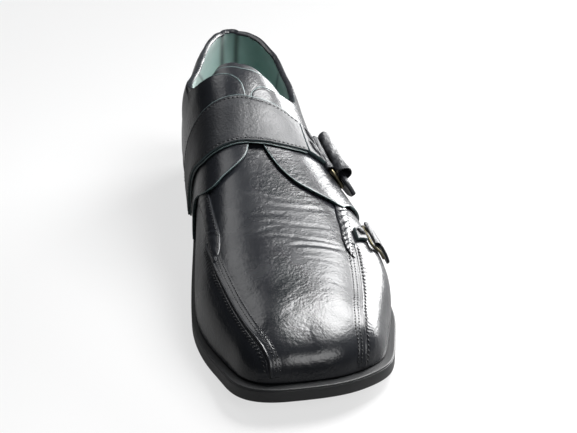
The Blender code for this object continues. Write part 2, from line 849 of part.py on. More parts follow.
def band(rows, lift, count, steps=5):
    """Grid of a strap across the foot, between its back and front edges."""
    table = np.asarray(rows, float)
    progress = np.linspace(0.0, len(table) - 1.0, count)
    edges = smooth_rows(np.column_stack([np.arange(len(table)), table]), progress)
    share = np.linspace(0.0, 1.0, steps)
    down = edges[:, 0, None] + (edges[:, 1] - edges[:, 0])[:, None] * share
    station = edges[:, 2, None] + (edges[:, 3] - edges[:, 2])[:, None] * share
    return on_last(station, down, lift)[:, ::-1]


def make_main_strap():
    """The instep strap and its end plate."""
    lift = STRAP_LIFT + STRAP_THICK
    add_shell("strap_main", [band(MAIN_STRAP, lift, 30, 4)], STRAP_THICK)
    plate = add_shell("strap_plate", [band(MAIN_PLATE, lift, 5, 5)], STRAP_THICK)
    for number, window in enumerate(PLATE_WINDOWS):
        cut_window(plate, "plate_window_%d" % number, window, lift)


def make_small_strap():
    """The small strap on the outer side of the ball."""
    add_shell("strap_small", [band(SMALL_STRAP, GAP + SMALL_THICK, 5, 3)], SMALL_THICK)


def rounded_frame(corners, radius, steps=3):
    """A four cornered outline with its corners rounded by short curves."""
    corners = np.asarray(corners, float)
    points = []
    for k, corner in enumerate(corners):
        to_last = corners[k - 1] - corner
        to_next = corners[(k + 1) % len(corners)] - corner
        start = corner + to_last / np.linalg.norm(to_last) * radius
        end = corner + to_next / np.linalg.norm(to_next) * radius
        for t in np.linspace(0.0, 1.0, steps):
            points.append((1 - t) ** 2 * start + 2 * t * (1 - t) * corner + t * t * end)
        points.append((end + corners[(k + 1) % len(corners)] - to_next / np.linalg.norm(to_next) * radius) / 2)
    return np.array(points)


def rod_mesh(name, centre, normal, width, height, sides, closed):
    """A rod of oval section along a line of points; the section stands along the given normals."""
    if closed:
        tangent = np.roll(centre, -1, axis=0) - np.roll(centre, 1, axis=0)
    else:
        tangent = np.gradient(centre, axis=0)
    tangent /= np.linalg.norm(tangent, axis=1)[:, None]
    sideways = np.cross(normal, tangent)
    sideways /= np.linalg.norm(sideways, axis=1)[:, None]
    upward = np.cross(tangent, sideways)
    turn = (np.arange(sides) + 0.5) * 2 * math.pi / sides
    rings = (
        centre[:, None]
        + sideways[:, None] * (np.cos(turn) * width / 2)[None, :, None]
        + upward[:, None] * (np.sin(turn) * height / 2)[None, :, None]
    )
    builder = bmesh.new()
    made = [[builder.verts.new(point) for point in ring] for ring in world(rings)]
    count = len(made)
    for k in range(count if closed else count - 1):
        here = made[k]
        there = made[(k + 1) % count]
        for j in range(sides):
            after = (j + 1) % sides
            builder.faces.new((here[j], there[j], there[after], here[after]))
    if not closed:
        builder.faces.new(made[0])
        builder.faces.new(made[-1][::-1])
    bmesh.ops.recalc_face_normals(builder, faces=builder.faces)
    mesh = bpy.data.meshes.new(name)
    builder.to_mesh(mesh)
    builder.free()
    return mesh


def add_rod(name, path, lift, width, height, finish, sides=8, closed=False):
    """A rod laid on the last along a path of station and down."""
    centre = on_last(path[:, 0], path[:, 1], lift)
    normal = centre - on_last(path[:, 0], path[:, 1], lift - 1.0)
    item = add_object(name, rod_mesh(name, centre, normal, width, height, sides, closed), finish)
    shade(item)
    return item


def cut_window(plate, name, window, lift):
    """Cut an oval window through the strap's end plate."""
    station, down, length, width = window
    place = np.full(2, station)
    depth = np.array([lift - STRAP_THICK - 1.0, lift + 1.0])
    centre = on_last(place, np.full(2, down), depth)
    along = on_last(place + 1.0, np.full(2, down), depth) - centre
    mesh = rod_mesh(name, centre, along, width, length, 12, False)
    cutter = bpy.data.objects.new(name, mesh)
    cutter.hide_render = True
    cutter.display_type = "WIRE"
    CUTTERS.objects.link(cutter)
    cut = plate.modifiers.new(name, "BOOLEAN")
    cut.operation = "DIFFERENCE"
    cut.solver = "EXACT"
    cut.object = cutter


def make_buckles():
    """The two buckles on the outer side: each a brass ring, a leather wrapped bar and a strap end."""
    ring_lift = QUARTER_TOP + GAP + RING_WIRE / 2
    add_rod("ring_main", rounded_frame(RING_MAIN, 3.0), ring_lift, RING_WIRE, RING_WIRE, "aged_brass", 6, True)
    bar_lift = ring_lift + RING_WIRE / 2 + GAP + BAR_HEIGHT / 2
    add_rod("bar_main", smooth_path(BAR_MAIN, 6), bar_lift, BAR_WIDTH, BAR_HEIGHT, "black_leather", 10)
    add_shell("tail_main", [band(TAIL_MAIN, bar_lift - BAR_HEIGHT / 2 + TAIL_THICK, 7, 5)], TAIL_THICK)
    ring_lift = GAP + SMALL_WIRE / 2 + SEAM_CLEAR
    add_rod("ring_small", rounded_frame(RING_SMALL, 2.0), ring_lift, SMALL_WIRE, SMALL_WIRE, "aged_brass", 6, True)
    bar_lift = ring_lift + SMALL_WIRE / 2 + GAP + SMALL_BAR_HEIGHT / 2
    add_rod("bar_small", smooth_path(BAR_SMALL, 4), bar_lift, SMALL_BAR_WIDTH, SMALL_BAR_HEIGHT, "black_leather", 8)
    add_shell("tail_small", [band(TAIL_SMALL, bar_lift - SMALL_BAR_HEIGHT / 2 + SMALL_TAIL_THICK, 6, 4)],
              SMALL_TAIL_THICK)


def make_piping():
    """The rolled binding round the collar, on top of the upper's edge from flap to flap."""
    lines = []
    for side, corner in ((OUTER, OUTER_CORNER), (INNER, INNER_CORNER)):
        row, down = rear_patch(side, corner)
        rim = side.at_row(row[:, 0], down[:, 0], -WALL / 2)
        lines.append(rim[row[:, 0] > side.row_of(corner[-1][0] + PIPING_START)])
    outer, inner = lines
    middle = (outer[-1] + inner[-1]) / 2
    line = np.vstack([outer[:-1], middle, inner[:-1][::-1]])
    line = line + np.array([0.0, 0.0, PIPING_ABOVE])
    upward = np.tile([0.0, 0.0, 1.0], (len(line), 1))
    mesh = rod_mesh("collar_piping", line, upward, 2 * PIPING_RADIUS, 2 * PIPING_RADIUS, PIPING_SIDES, False)
    shade(add_object("collar_piping", mesh, "black_leather"))


def make_tongue():
    """The tongue, just inside the upper and standing above the flaps."""
    top = smooth_path(TONGUE_TOP, 15)
    progress = np.linspace(0.0, 1.0, 10)[:, None]
    station = TONGUE_FOOT + (top[:, 1] - TONGUE_FOOT) * progress
    down = top[:, 0] * (TONGUE_TAPER + (1.0 - TONGUE_TAPER) * progress)
    add_shell("tongue", [on_last(station, down, TONGUE_LIFT)], TONGUE_THICK)


clear_scene()
SHOE = new_collection("monk_strap_shoe")
CUTTERS = new_collection("cutters")
make_sole()
make_upper()
make_quarters()
make_seams()
make_tabs()
make_main_strap()
make_small_strap()
make_buckles()
make_tongue()
make_piping()
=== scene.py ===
# %% [markdown]
# # A black monk strap shoe
# This file is a lesson in dressing a plain model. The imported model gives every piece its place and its
# size, and the cells below lay finished leather, thread, brass and rubber over it. Each step first says
# what the piece is on the real shoe, then how it is made here and why.

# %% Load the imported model
import math

import bmesh
import bpy
import numpy as np
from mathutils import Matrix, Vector


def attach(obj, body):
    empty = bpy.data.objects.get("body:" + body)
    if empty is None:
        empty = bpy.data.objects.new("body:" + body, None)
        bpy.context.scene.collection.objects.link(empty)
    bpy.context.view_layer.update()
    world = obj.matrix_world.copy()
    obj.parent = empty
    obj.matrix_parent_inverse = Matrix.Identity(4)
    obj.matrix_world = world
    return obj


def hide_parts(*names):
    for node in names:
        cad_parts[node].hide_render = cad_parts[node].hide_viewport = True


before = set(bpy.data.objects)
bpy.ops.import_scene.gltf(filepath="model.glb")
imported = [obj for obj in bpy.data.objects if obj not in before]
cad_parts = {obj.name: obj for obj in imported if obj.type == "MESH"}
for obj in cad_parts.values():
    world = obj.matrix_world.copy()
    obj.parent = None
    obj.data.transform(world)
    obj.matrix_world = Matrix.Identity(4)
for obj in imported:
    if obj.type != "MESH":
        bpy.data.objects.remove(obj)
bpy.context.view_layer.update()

# %% [markdown]
# ## Units and place
# A last maker works in millimetres, measured back from the toe tip, out from the long axis of the last
# and up from the floor. Blender works in metres. One small function turns one into the other, so every
# table below can be read with a ruler in hand.

# %% Units and place
MM = 0.001
CENTRE = np.array([4.9, 153.2, 0.0])


def metres(points):
    """Turn across, along and height in millimetres into metres round the middle of the shoe."""
    return (np.asarray(points, float) - CENTRE) * MM


print("the toe tip lies at", metres([0.0, 0.0, 0.0]).round(4), "metres")

# %% [markdown]
# ## The camera
# The photograph was taken from above the toe, and the shoe stands to the right of its middle. A camera can
# be placed by eye, but this one was fitted: its place is the one from which the sole's outline and the
# seams fall where they do in the photograph. From there it is turned to the shoe itself. A long lens from
# a fair distance keeps the toe from swelling.

# %% The camera
camera_lens = bpy.data.cameras.new("camera")
camera_lens.lens = 84.6
camera_lens.sensor_width = 36.0
camera = bpy.data.objects.new("camera", camera_lens)
camera.location = (-0.11575, -0.6798, 0.396)
looking = Vector((0.1610, 0.8685, -0.4689))
camera.rotation_euler = looking.to_track_quat("-Z", "Y").to_euler()
bpy.context.scene.collection.objects.link(camera)
bpy.context.scene.camera = camera
print("camera looks down by", round(math.degrees(math.asin(-looking.normalized().z)), 1), "degrees")

# %% [markdown]
# ## Nodes and colours
# A material or a background in Blender is a tree of nodes. Three small helpers are enough for all of them
# here: one adds a node with its settings and links, one turns a hex colour into the linear colour that
# shaders read, and one starts a new material.

# %% Nodes and colours


def add_node(tree, kind, settings=None, inputs=None, links=None):
    """Add one node to a tree: settings are its own options, inputs its socket values, links what feeds it."""
    node = tree.nodes.new(kind)
    for key, value in (settings or {}).items():
        setattr(node, key, value)
    for key, value in (inputs or {}).items():
        node.inputs[key].default_value = value
    for key, socket in (links or {}).items():
        tree.links.new(socket, node.inputs[key])
    return node


def linear(text):
    """Turn an sRGB hex colour into the linear colour that Blender's shaders read."""
    channels = [int(text[k:k + 2], 16) / 255 for k in (1, 3, 5)]
    curve = [c / 12.92 if c <= 0.04045 else ((c + 0.055) / 1.055) ** 2.4 for c in channels]
    return (*curve, 1.0)


def new_material(name):
    """A new node material: the material, its tree and its Principled shader."""
    material = bpy.data.materials.new(name)
    material.use_nodes = True
    return material, material.node_tree, material.node_tree.nodes["Principled BSDF"]


print("white in linear colour:", linear("#ffffff"))

# %% [markdown]
# ## Floor and background
# The shoe stands on white acrylic that is lit from below, in a white studio. With black leather this is a
# trap: a floor that is truly that bright fills every dark reflection with grey. A photographer stands
# black card close round the shoe. Here the Light Path node does the same, so the floor and the background
# are bright for the camera and dim for all other rays.

# %% Floor and background
FLOOR_HALF = 6.0


def bright_for_camera(tree, dim, bright, socket):
    """Feed a strength to a socket: bright for rays from the camera and dim for all others."""
    path = add_node(tree, "ShaderNodeLightPath")
    strength = add_node(
        tree, "ShaderNodeMapRange", None, {"To Min": dim, "To Max": bright},
        {"Value": path.outputs["Is Camera Ray"]},
    )
    tree.links.new(strength.outputs["Result"], socket)


floor_corners = [(x * FLOOR_HALF, y * FLOOR_HALF, 0) for x, y in ((-1, -1), (1, -1), (1, 1), (-1, 1))]
floor_mesh = bpy.data.meshes.new("floor")
floor_mesh.from_pydata(floor_corners, [], [(0, 1, 2, 3)])
floor = bpy.data.objects.new("floor", floor_mesh)
bpy.context.scene.collection.objects.link(floor)
floor_finish, floor_tree, floor_shader = new_material("lit_white_acrylic")
floor_shader.inputs["Base Color"].default_value = linear("#6a6a6a")
floor_shader.inputs["Roughness"].default_value = 0.9
floor_shader.inputs["Emission Color"].default_value = linear("#fbfbfb")
bright_for_camera(floor_tree, 0.16, 0.70, floor_shader.inputs["Emission Strength"])
floor_mesh.materials.append(floor_finish)

world = bpy.data.worlds.new("studio")
world.use_nodes = True
background = world.node_tree.nodes["Background"]
background.inputs["Color"].default_value = linear("#e4ecf6")
bright_for_camera(world.node_tree, 0.07, 0.95, background.inputs["Strength"])
bpy.context.scene.world = world
bpy.context.scene.view_settings.view_transform = "Standard"
print("floor:", floor_finish.name, "background:", world.name)

# %% [markdown]
# ## Lamps
# Black leather shows its shape only through what it reflects, so the lamps matter more than any colour. A
# picture of a studio could be wrapped round the shoe, but a few soft lamps tell plainly where each shine
# comes from. A small one close above the outer side draws the large shine on the vamp and the toe. A big
# low one behind the outer side whitens the wall there. The weaker ones in front, above, behind and over
# the inner side lift the rest out of black.

# %% Lamps
LAMPS = (
    # name, place in metres, target in metres, size in metres, watts
    ("key", (0.158, 0.002, 0.360), (0.030, -0.090, 0.050), 0.20, 3.7),
    ("side_high", (0.95, 0.66, 0.80), (0.02, 0.0, 0.05), 0.6, 4.5),
    ("side_low", (1.12, 0.72, 0.38), (0.02, 0.0, 0.05), 0.8, 40.0),
    ("top", (0.50, 0.24, 1.20), (0.0, 0.03, 0.07), 0.6, 0.7),
    ("front", (0.42, -1.10, 0.90), (0.0, -0.05, 0.03), 0.6, 8.0),
    ("back", (0.10, 1.25, 0.95), (0.0, 0.0, 0.06), 0.7, 0.8),
    ("left_high", (-0.45, 0.55, 1.00), (0.0, 0.05, 0.07), 0.5, 2.6),
)
for name, place, target, size, watts in LAMPS:
    lamp = bpy.data.lights.new(name, "AREA")
    lamp.size = size
    lamp.energy = watts
    holder = bpy.data.objects.new(name, lamp)
    holder.location = place
    holder.rotation_euler = (Vector(target) - Vector(place)).to_track_quat("-Z", "Y").to_euler()
    bpy.context.scene.collection.objects.link(holder)
print("lamps:", [lamp[0] for lamp in LAMPS])

# %% [markdown]
# ## The last
# A shoe is made over a last, a solid form of the foot. It could be sculpted, but then no seam or strap
# could be laid on it by measure. Here it is a surface that can be read at any place. It rests on the
# outline of the sole, a closed spline, and on the spine, the line over the middle of the foot. Between
# them stand ribs: each is the quarter of a superellipse, which gives the flat top, the round shoulder and
# the steep wall. A place on the last has a station, where its rib meets the spine, and a length down the
# rib from there.

# %% Curves that a pattern cutter would draw


def unit(vectors):
    """Vectors of length one with the same directions."""
    return vectors / np.linalg.norm(vectors, axis=-1)[..., None]


def hermite(t, width, start, end, start_slope, end_slope):
    """A cubic piece of a given width between two values with given slopes, for t from 0 to 1."""
    return (
        (1 + 2 * t) * (1 - t) ** 2 * start
        + t * (1 - t) ** 2 * width * start_slope
        + t * t * (3 - 2 * t) * end
        + t * t * (t - 1) * width * end_slope
    )


def smooth_rows(rows, at):
    """Read a table at any place: cubic pieces through its rows, whose slopes never overshoot a row."""
    table = np.asarray(rows, float)
    x = table[:, 0]
    y = table[:, 1:]
    step = np.diff(x)[:, None]
    rise = np.diff(y, axis=0) / step
    before = 2 * step[1:] + step[:-1]
    after = step[1:] + 2 * step[:-1]
    same_way = rise[:-1] * rise[1:] > 0
    safe_before = np.where(same_way, rise[:-1], 1.0)
    safe_after = np.where(same_way, rise[1:], 1.0)
    mean = (before + after) / (before / safe_before + after / safe_after)
    slope = np.concatenate([rise[:1], np.where(same_way, mean, 0.0), rise[-1:]])
    at = np.clip(np.asarray(at, float), x[0], x[-1])
    i = np.clip(np.searchsorted(x, at, side="right") - 1, 0, len(x) - 2)
    width = (x[i + 1] - x[i])[..., None]
    t = (at - x[i])[..., None] / width
    return hermite(t, width, y[i], y[i + 1], slope[i], slope[i + 1])


def lengths(points):
    """Length along a line of points, from its start to each point."""
    return np.concatenate([[0.0], np.cumsum(np.linalg.norm(np.diff(points, axis=0), axis=1))])


def at_shares(points, shares):
    """Points at the given shares of the length of a line of points."""
    length = lengths(points)
    wanted = np.asarray(shares, float) * length[-1]
    return np.stack([np.interp(wanted, length, column) for column in points.T], axis=-1)


def even_points(points, count):
    """Points spaced evenly by length along a fine line of points."""
    return at_shares(points, np.linspace(0.0, 1.0, count))


def smooth_path(points, count=600):
    """Points evenly spaced by length on a smooth curve through the given points."""
    points = np.asarray(points, float)
    length = lengths(points)
    fine = smooth_rows(np.column_stack([length, points]), np.linspace(0.0, length[-1], 60 * len(points)))
    return even_points(fine, count)


def closed_curve(points, count):
    """Closed cubic spline through the points, spaced by chord, as count points even by length."""
    knots = np.asarray(points, float)
    total = len(knots)
    chord = np.linalg.norm(np.roll(knots, -1, axis=0) - knots, axis=1)
    previous = np.roll(chord, 1)
    rise = (np.roll(knots, -1, axis=0) - knots) / chord[:, None]
    index = np.arange(total)
    matrix = np.zeros((total, total))
    matrix[index, index] = 2 * (chord + previous)
    matrix[index, (index + 1) % total] = previous
    matrix[index, (index - 1) % total] = chord
    right = 3 * (previous[:, None] * rise + chord[:, None] * np.roll(rise, 1, axis=0))
    slope = np.linalg.solve(matrix, right)
    t = np.linspace(0.0, 1.0, 90, endpoint=False)[:, None, None]
    fine = hermite(t, chord[:, None], knots, np.roll(knots, -1, axis=0), slope, np.roll(slope, -1, axis=0))
    fine = fine.transpose(1, 0, 2).reshape(-1, 2)
    return even_points(np.vstack([fine, fine[:1]]), count + 1)[:-1]


def inset_outline(outline, distance):
    """Move a closed outline inwards along its own normal."""
    tangent = unit(np.roll(outline, -1, axis=0) - np.roll(outline, 1, axis=0))
    inward = np.column_stack([tangent[:, 1], -tangent[:, 0]])
    if np.mean(np.sum((outline.mean(axis=0) - outline) * inward, axis=1)) < 0:
        inward = -inward
    return outline + inward * np.broadcast_to(distance, len(outline))[:, None]


print("a curve through three points:", len(smooth_path([(0, 0), (1, 2), (3, 3)])), "places")

# %% Outline, side view, spine and ribs
# The sole's edge, outer side first and then back along the inner side
SOLE_EDGE = (
    # along, across
    (0.0, -8.0),
    (2.6, 19.0),
    (8.0, 30.5),
    (18.0, 42.0),
    (30.5, 47.6),
    (46.0, 52.0),
    (64.0, 56.6),
    (82.0, 58.5),
    (102.0, 57.0),
    (125.0, 52.0),
    (150.0, 46.0),
    (180.0, 41.0),
    (215.0, 39.5),
    (250.0, 39.5),
    (275.0, 35.5),
    (293.0, 25.0),
    (302.0, 12.0),
    (304.0, 2.8),
    (302.0, -6.5),
    (293.0, -19.0),
    (275.0, -30.6),
    (250.0, -35.0),
    (215.0, -35.8),
    (180.0, -37.4),
    (150.0, -41.4),
    (125.0, -45.2),
    (102.0, -48.2),
    (82.0, -49.8),
    (64.0, -49.0),
    (46.0, -46.2),
    (29.0, -42.2),
    (16.0, -38.6),
    (7.0, -32.5),
    (2.0, -24.0),
)

# The sole from the side: its bottom, and the bed that the upper stands on
SOLE_SIDE = (
    # along, bottom, bed
    (0.0, 10.0, 17.6),
    (10.0, 8.2, 16.0),
    (20.0, 6.6, 14.6),
    (40.0, 3.8, 12.0),
    (60.0, 1.6, 10.0),
    (80.0, 0.2, 8.8),
    (88.0, 0.0, 8.6),
    (108.0, 0.0, 8.6),
    (130.0, 2.2, 10.2),
    (160.0, 6.4, 13.8),
    (200.0, 13.6, 20.5),
    (226.0, 17.8, 25.0),
    (255.0, 19.0, 27.6),
    (280.0, 20.0, 29.0),
    (304.0, 21.0, 29.8),
)

# The last's centre line over the foot, and the line above the ankle that the ribs run to
SPINE = (
    # station, across, height
    (20.0, 2.0, 34.6),
    (24.0, 1.8, 36.5),
    (40.0, 1.0, 41.5),
    (60.0, 0.0, 46.3),
    (90.0, -2.0, 54.0),
    (120.0, -4.0, 63.5),
    (149.0, -5.5, 74.5),
    (178.0, -4.0, 90.0),
    (202.0, -3.0, 103.0),
    (225.0, -1.0, 112.0),
    (250.0, 1.5, 113.0),
    (271.0, 2.8, 107.0),
)

# Each rib of the last: where it ends on the spine, how far its foot stands in from the sole's edge,
# how it leans in from upright (degrees), and how square its shoulder is
RIBS = (
    # along, station, ledge, outer lean, outer shoulder, inner lean, inner shoulder
    (0.0, 24.0, 5.5, 15.0, 3.5, 15.0, 3.5),
    (8.0, 38.0, 5.2, 14.0, 3.3, 14.0, 3.3),
    (20.0, 49.0, 4.5, 11.0, 3.1, 11.0, 3.1),
    (45.0, 66.0, 3.5, 4.0, 2.9, 5.0, 3.0),
    (80.0, 90.0, 2.2, -5.0, 2.8, 0.5, 2.9),
    (125.0, 126.0, 2.0, -5.0, 2.6, 1.5, 2.95),
    (170.0, 168.0, 2.0, -2.0, 2.3, 0.0, 2.9),
    (215.0, 208.0, 2.0, 1.0, 2.1, -6.0, 2.35),
    (250.0, 238.0, 2.0, 3.5, 2.05, -1.0, 1.85),
    (275.0, 256.0, 2.0, 1.0, 2.05, -3.5, 1.8),
    (295.0, 267.0, 2.0, -5.5, 2.3, -5.0, 2.15),
    (304.0, 271.0, 2.0, -7.5, 2.65, -7.5, 2.65),
)

# How far the inner wall moves across at the height of the ankle, between two heights that it grows over
ANKLE_SHIFT = (
    # station, across
    (20.0, 0.0),
    (200.0, 0.0),
    (208.0, -0.5),
    (216.0, -1.9),
    (224.0, -2.6),
    (231.0, -2.2),
    (238.0, -0.8),
    (244.0, 0.5),
    (250.0, 1.9),
    (256.0, 1.5),
    (262.0, 0.7),
    (268.0, 0.1),
    (272.0, 0.0),
)
ANKLE_LOW = 52.0
ANKLE_HIGH = 80.0

# Thickness of the upper's wall, and the gap between it and the bed of the sole
WALL = 2.0
BED_GAP = 0.35

# The table gives the first ribs at the toe one station, so each of them is set a small step further on
TOE_RIBS = 40
TOE_STEP = 0.01
print("tables of the last:", len(SOLE_EDGE), "places on the sole's edge and", len(RIBS), "ribs")

# %% Read a grid of points smoothly


def cubic_weights(t):
    """Weights of the four nearest rows at t between the middle two: the curve passes through them."""
    return (
        0.5 * (-t + 2 * t ** 2 - t ** 3),
        0.5 * (2 - 5 * t ** 2 + 3 * t ** 3),
        0.5 * (t + 4 * t ** 2 - 3 * t ** 3),
        0.5 * (t ** 3 - t ** 2),
    )


def extend(grid):
    """Add one more row and column at each end of a grid, in a straight line from the last two."""
    grid = np.concatenate([2 * grid[:1] - grid[1:2], grid, 2 * grid[-1:] - grid[-2:-1]])
    return np.concatenate([2 * grid[:, :1] - grid[:, 1:2], grid, 2 * grid[:, -1:] - grid[:, -2:-1]], axis=1)


def read_grid(wide, row, column):
    """Cubic reading between the rows and columns of an extended grid: a weighted sum of sixteen points."""
    i = np.clip(row.astype(int), 0, wide.shape[0] - 4)
    j = np.clip(column.astype(int), 0, wide.shape[1] - 4)
    total = 0.0
    for a, row_weight in enumerate(cubic_weights(row - i)):
        for b, column_weight in enumerate(cubic_weights(column - j)):
            total = total + (row_weight * column_weight)[..., None] * wide[i + a, j + b]
    return total


print("weights half way between two rows:", cubic_weights(0.5))

# %% The two sides of the last


class LastSide:
    """One side of the last, as ribs that are even along the sole's edge.

    A rib stands in the upright plane from its foot B on the sole to its end T on the spine. The wall leans
    from B to a corner C, and the roof runs from C to T along the slope of the spine. With n for how square
    the shoulder is, and an angle from 0 to 90 degrees, the rib is
    C + (B - C)(1 - sin^(2/n)) + (T - C)(1 - cos^(2/n)). Its points are then spaced evenly by length.
    """

    def __init__(self, outer, ribs=460, steps=170):
        edge = closed_curve(SOLE_EDGE, 3000)
        heel = int(np.argmax(edge[:, 0]))
        toe = int(np.argmin(edge[:, 0]))
        order = np.arange(toe, heel + 1) if outer else np.arange(toe + len(edge), heel - 1, -1)
        order = order % len(edge)
        ledge = smooth_rows(RIBS, edge[:, 0])[:, 1]
        foot = even_points(inset_outline(edge, ledge)[order], ribs)
        self.edge = even_points(edge[order], ribs)
        rib = smooth_rows(RIBS, self.edge[:, 0])
        self.station = np.maximum.accumulate(rib[:, 0]) + TOE_STEP * np.minimum(np.arange(ribs) - TOE_RIBS, 0)
        lean = np.radians(rib[:, 2 if outer else 4])
        power = 2.0 / rib[:, 3 if outer else 5]
        bed = smooth_rows(SOLE_SIDE, foot[:, 0])[:, 1] + BED_GAP + WALL * np.maximum(0.0, np.sin(lean))
        spine = smooth_rows(SPINE, self.station)
        slope = (smooth_rows(SPINE, self.station + 0.5) - smooth_rows(SPINE, self.station - 0.5))[:, 1]
        run = np.column_stack([spine[:, 0] - foot[:, 1], self.station - foot[:, 0]])
        reach = np.linalg.norm(run, axis=1)
        heading = run / reach[:, None]
        slope = slope * heading[:, 1]
        wall = (spine[:, 1] - bed - slope * reach) / (np.cos(lean) - slope * np.sin(lean))
        roof = reach - wall * np.sin(lean)
        turn = np.linspace(0.0, math.pi / 2, 900)
        up = np.sin(turn)[None, :] ** power[:, None]
        over = 1.0 - np.cos(turn)[None, :] ** power[:, None]
        inward = (wall * np.sin(lean))[:, None] * up + roof[:, None] * over
        height = bed[:, None] + (wall * np.cos(lean))[:, None] * up + (slope * roof)[:, None] * over
        across = foot[:, 1, None] + heading[:, 0, None] * inward
        along = foot[:, 0, None] + heading[:, 1, None] * inward
        if not outer:
            rise = np.clip((height - ANKLE_LOW) / (ANKLE_HIGH - ANKLE_LOW), 0.0, 1.0)
            across = across + smooth_rows(ANKLE_SHIFT, self.station) * rise ** 2 * (3 - 2 * rise)
        fine = np.stack([across, along, height], axis=2)
        points = np.stack([even_points(line, steps) for line in fine])
        self.girth = np.linalg.norm(np.diff(fine, axis=1), axis=2).sum(axis=1)
        normal = np.cross(np.gradient(points, axis=0), np.gradient(points, axis=1))
        normal /= np.linalg.norm(normal, axis=2)[..., None] + 1e-12
        self.points = extend(points)
        self.normals = extend(normal if outer else -normal)
        self.steps = steps

    def total(self, station):
        """Length of the rib at a station, from the spine down to the sole."""
        return np.interp(station, self.station, self.girth)

    def row_of(self, station):
        """Place of a station among the ribs."""
        return np.interp(station, self.station, np.arange(len(self.station)))

    def station_of(self, row):
        """Station of a place among the ribs."""
        return np.interp(row, np.arange(len(self.station)), self.station)

    def at_row(self, row, down, lift=0.0):
        """Points by place among the ribs and by length down from the spine, lifted along the normal."""
        row, down = np.broadcast_arrays(np.asarray(row, float), np.asarray(down, float))
        row = np.clip(row, 0.0, len(self.station) - 1.0)
        total = np.interp(row, np.arange(len(self.station)), self.girth)
        column = np.clip(1.0 - down / total, 0.0, 1.0) * (self.steps - 1)
        normal = unit(read_grid(self.normals, row, column))
        return read_grid(self.points, row, column) + normal * np.asarray(lift, float)[..., None]

    def at(self, station, down, lift=0.0):
        """Points by station and by length down from the spine, lifted along the normal."""
        return self.at_row(self.row_of(station), down, lift)


OUTER = LastSide(True)
INNER = LastSide(False)


def on_last(station, down, lift=0.0):
    """Points on the last, where a negative length down lies on the inner side."""
    station, down, lift = np.broadcast_arrays(*[np.asarray(part, float) for part in (station, down, lift)])
    outer = OUTER.at(station, np.abs(down), lift)
    inner = INNER.at(station, np.abs(down), lift)
    return np.where((down >= 0)[..., None], outer, inner)


print("girth over the ball:", round(OUTER.total(100.0) + INNER.total(100.0)), "mm")

# %% [markdown]
# ## From arrays to a mesh
# Blender's own tools could build each piece with modifiers, but leather that has to meet other leather to
# a tenth of a millimetre is easier to work out. So each piece is whole arrays of points, and one function
# turns them into a mesh. It joins points that fall together, which closes every seam and pole, and then
# turns the faces outwards. It also ties the piece to the shoe, hides the plain solid that it stands for
# and gives it its finish.

# %% From arrays to a mesh
MERGE = 0.002 * MM


def full_turn(sides):
    """Angles once round a section, whose last is the first again, so that the seam closes exactly."""
    turn = np.linspace(0.0, 2 * math.pi, sides + 1)
    turn[-1] = 0.0
    return turn


def make_piece(name, stacks, finish, nodes=(), marks=None):
    """One mesh from stacks of point grids, whose last three axes are rows, columns and the three lengths.

    Each cell of a grid is one face. marks holds values for the material by name, one array per stack.
    """
    points = []
    faces = []
    first = 0
    for stack in stacks:
        rows, columns = stack.shape[-3:-1]
        flat = np.asarray(stack, float).reshape(-1, rows * columns, 3)
        corner = (np.arange(rows - 1)[:, None] * columns + np.arange(columns - 1)).ravel()
        quad = np.stack([corner, corner + columns, corner + columns + 1, corner + 1], axis=-1)
        start = first + np.arange(len(flat)) * rows * columns
        faces.append((quad[None] + start[:, None, None]).reshape(-1, 4))
        points.append(flat.reshape(-1, 3))
        first += len(points[-1])
    mesh = bpy.data.meshes.new(name)
    mesh.from_pydata(metres(np.concatenate(points)), [], np.concatenate(faces))
    for mark, values in (marks or {}).items():
        spread = [np.broadcast_to(value, stack.shape[:-1]).ravel() for value, stack in zip(values, stacks)]
        layer = mesh.attributes.new(mark, "FLOAT", "POINT")
        layer.data.foreach_set("value", np.concatenate(spread).astype(np.float32))
    builder = bmesh.new()
    builder.from_mesh(mesh)
    bmesh.ops.remove_doubles(builder, verts=builder.verts, dist=MERGE)
    open_edges = sum(1 for edge in builder.edges if not edge.is_manifold)
    bmesh.ops.recalc_face_normals(builder, faces=builder.faces)
    builder.to_mesh(mesh)
    builder.free()
    mesh.shade_smooth()
    mesh.materials.append(finish)
    piece = bpy.data.objects.new(name, mesh)
    bpy.context.scene.collection.objects.link(piece)
    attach(piece, "root")
    if nodes:
        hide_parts(*nodes)
    print(name, "faces", len(mesh.polygons), "open edges", open_edges)


print("points closer than", round(1000 * MERGE, 4), "mm are merged")

# %% [markdown]
# ## How a cut sheet is made
# Straps, flaps and tabs are all cut from sheet leather, with an edge that stands upright and is a little
# rounded at the top. Solidify and Bevel would give such an edge too, but not the same on both sides of a
# sharp corner. A sheet here is a surface of two shares from 0 to 1, with extra lines close to its border:
# the first stand on the cut edge and the next ones round it over. A value called cut_edge marks the raw
# edge, where the black finish ends and the paler inside of the leather shows.

# %% How a cut sheet is made
EDGE_SHOWS = 0.4
EDGE_FADES = 0.3


def cut_lines(count, length, thick, round_over=0.4):
    """Shares of a sheet's lines and their heights: upright at the edge, then a quarter circle, then flat."""
    turn = np.linspace(0.0, math.pi / 2, 5)
    inset = np.concatenate([[0.0], round_over * (1 - np.cos(turn))]) / length
    height = np.concatenate([[0.0], thick - round_over + round_over * np.sin(turn)])
    middle = np.linspace(inset[-1], 1 - inset[-1], count)[1:-1]
    share = np.concatenate([inset, middle, 1 - inset[::-1]])
    level = np.concatenate([height, np.full(len(middle), thick), height[::-1]])
    return share, level


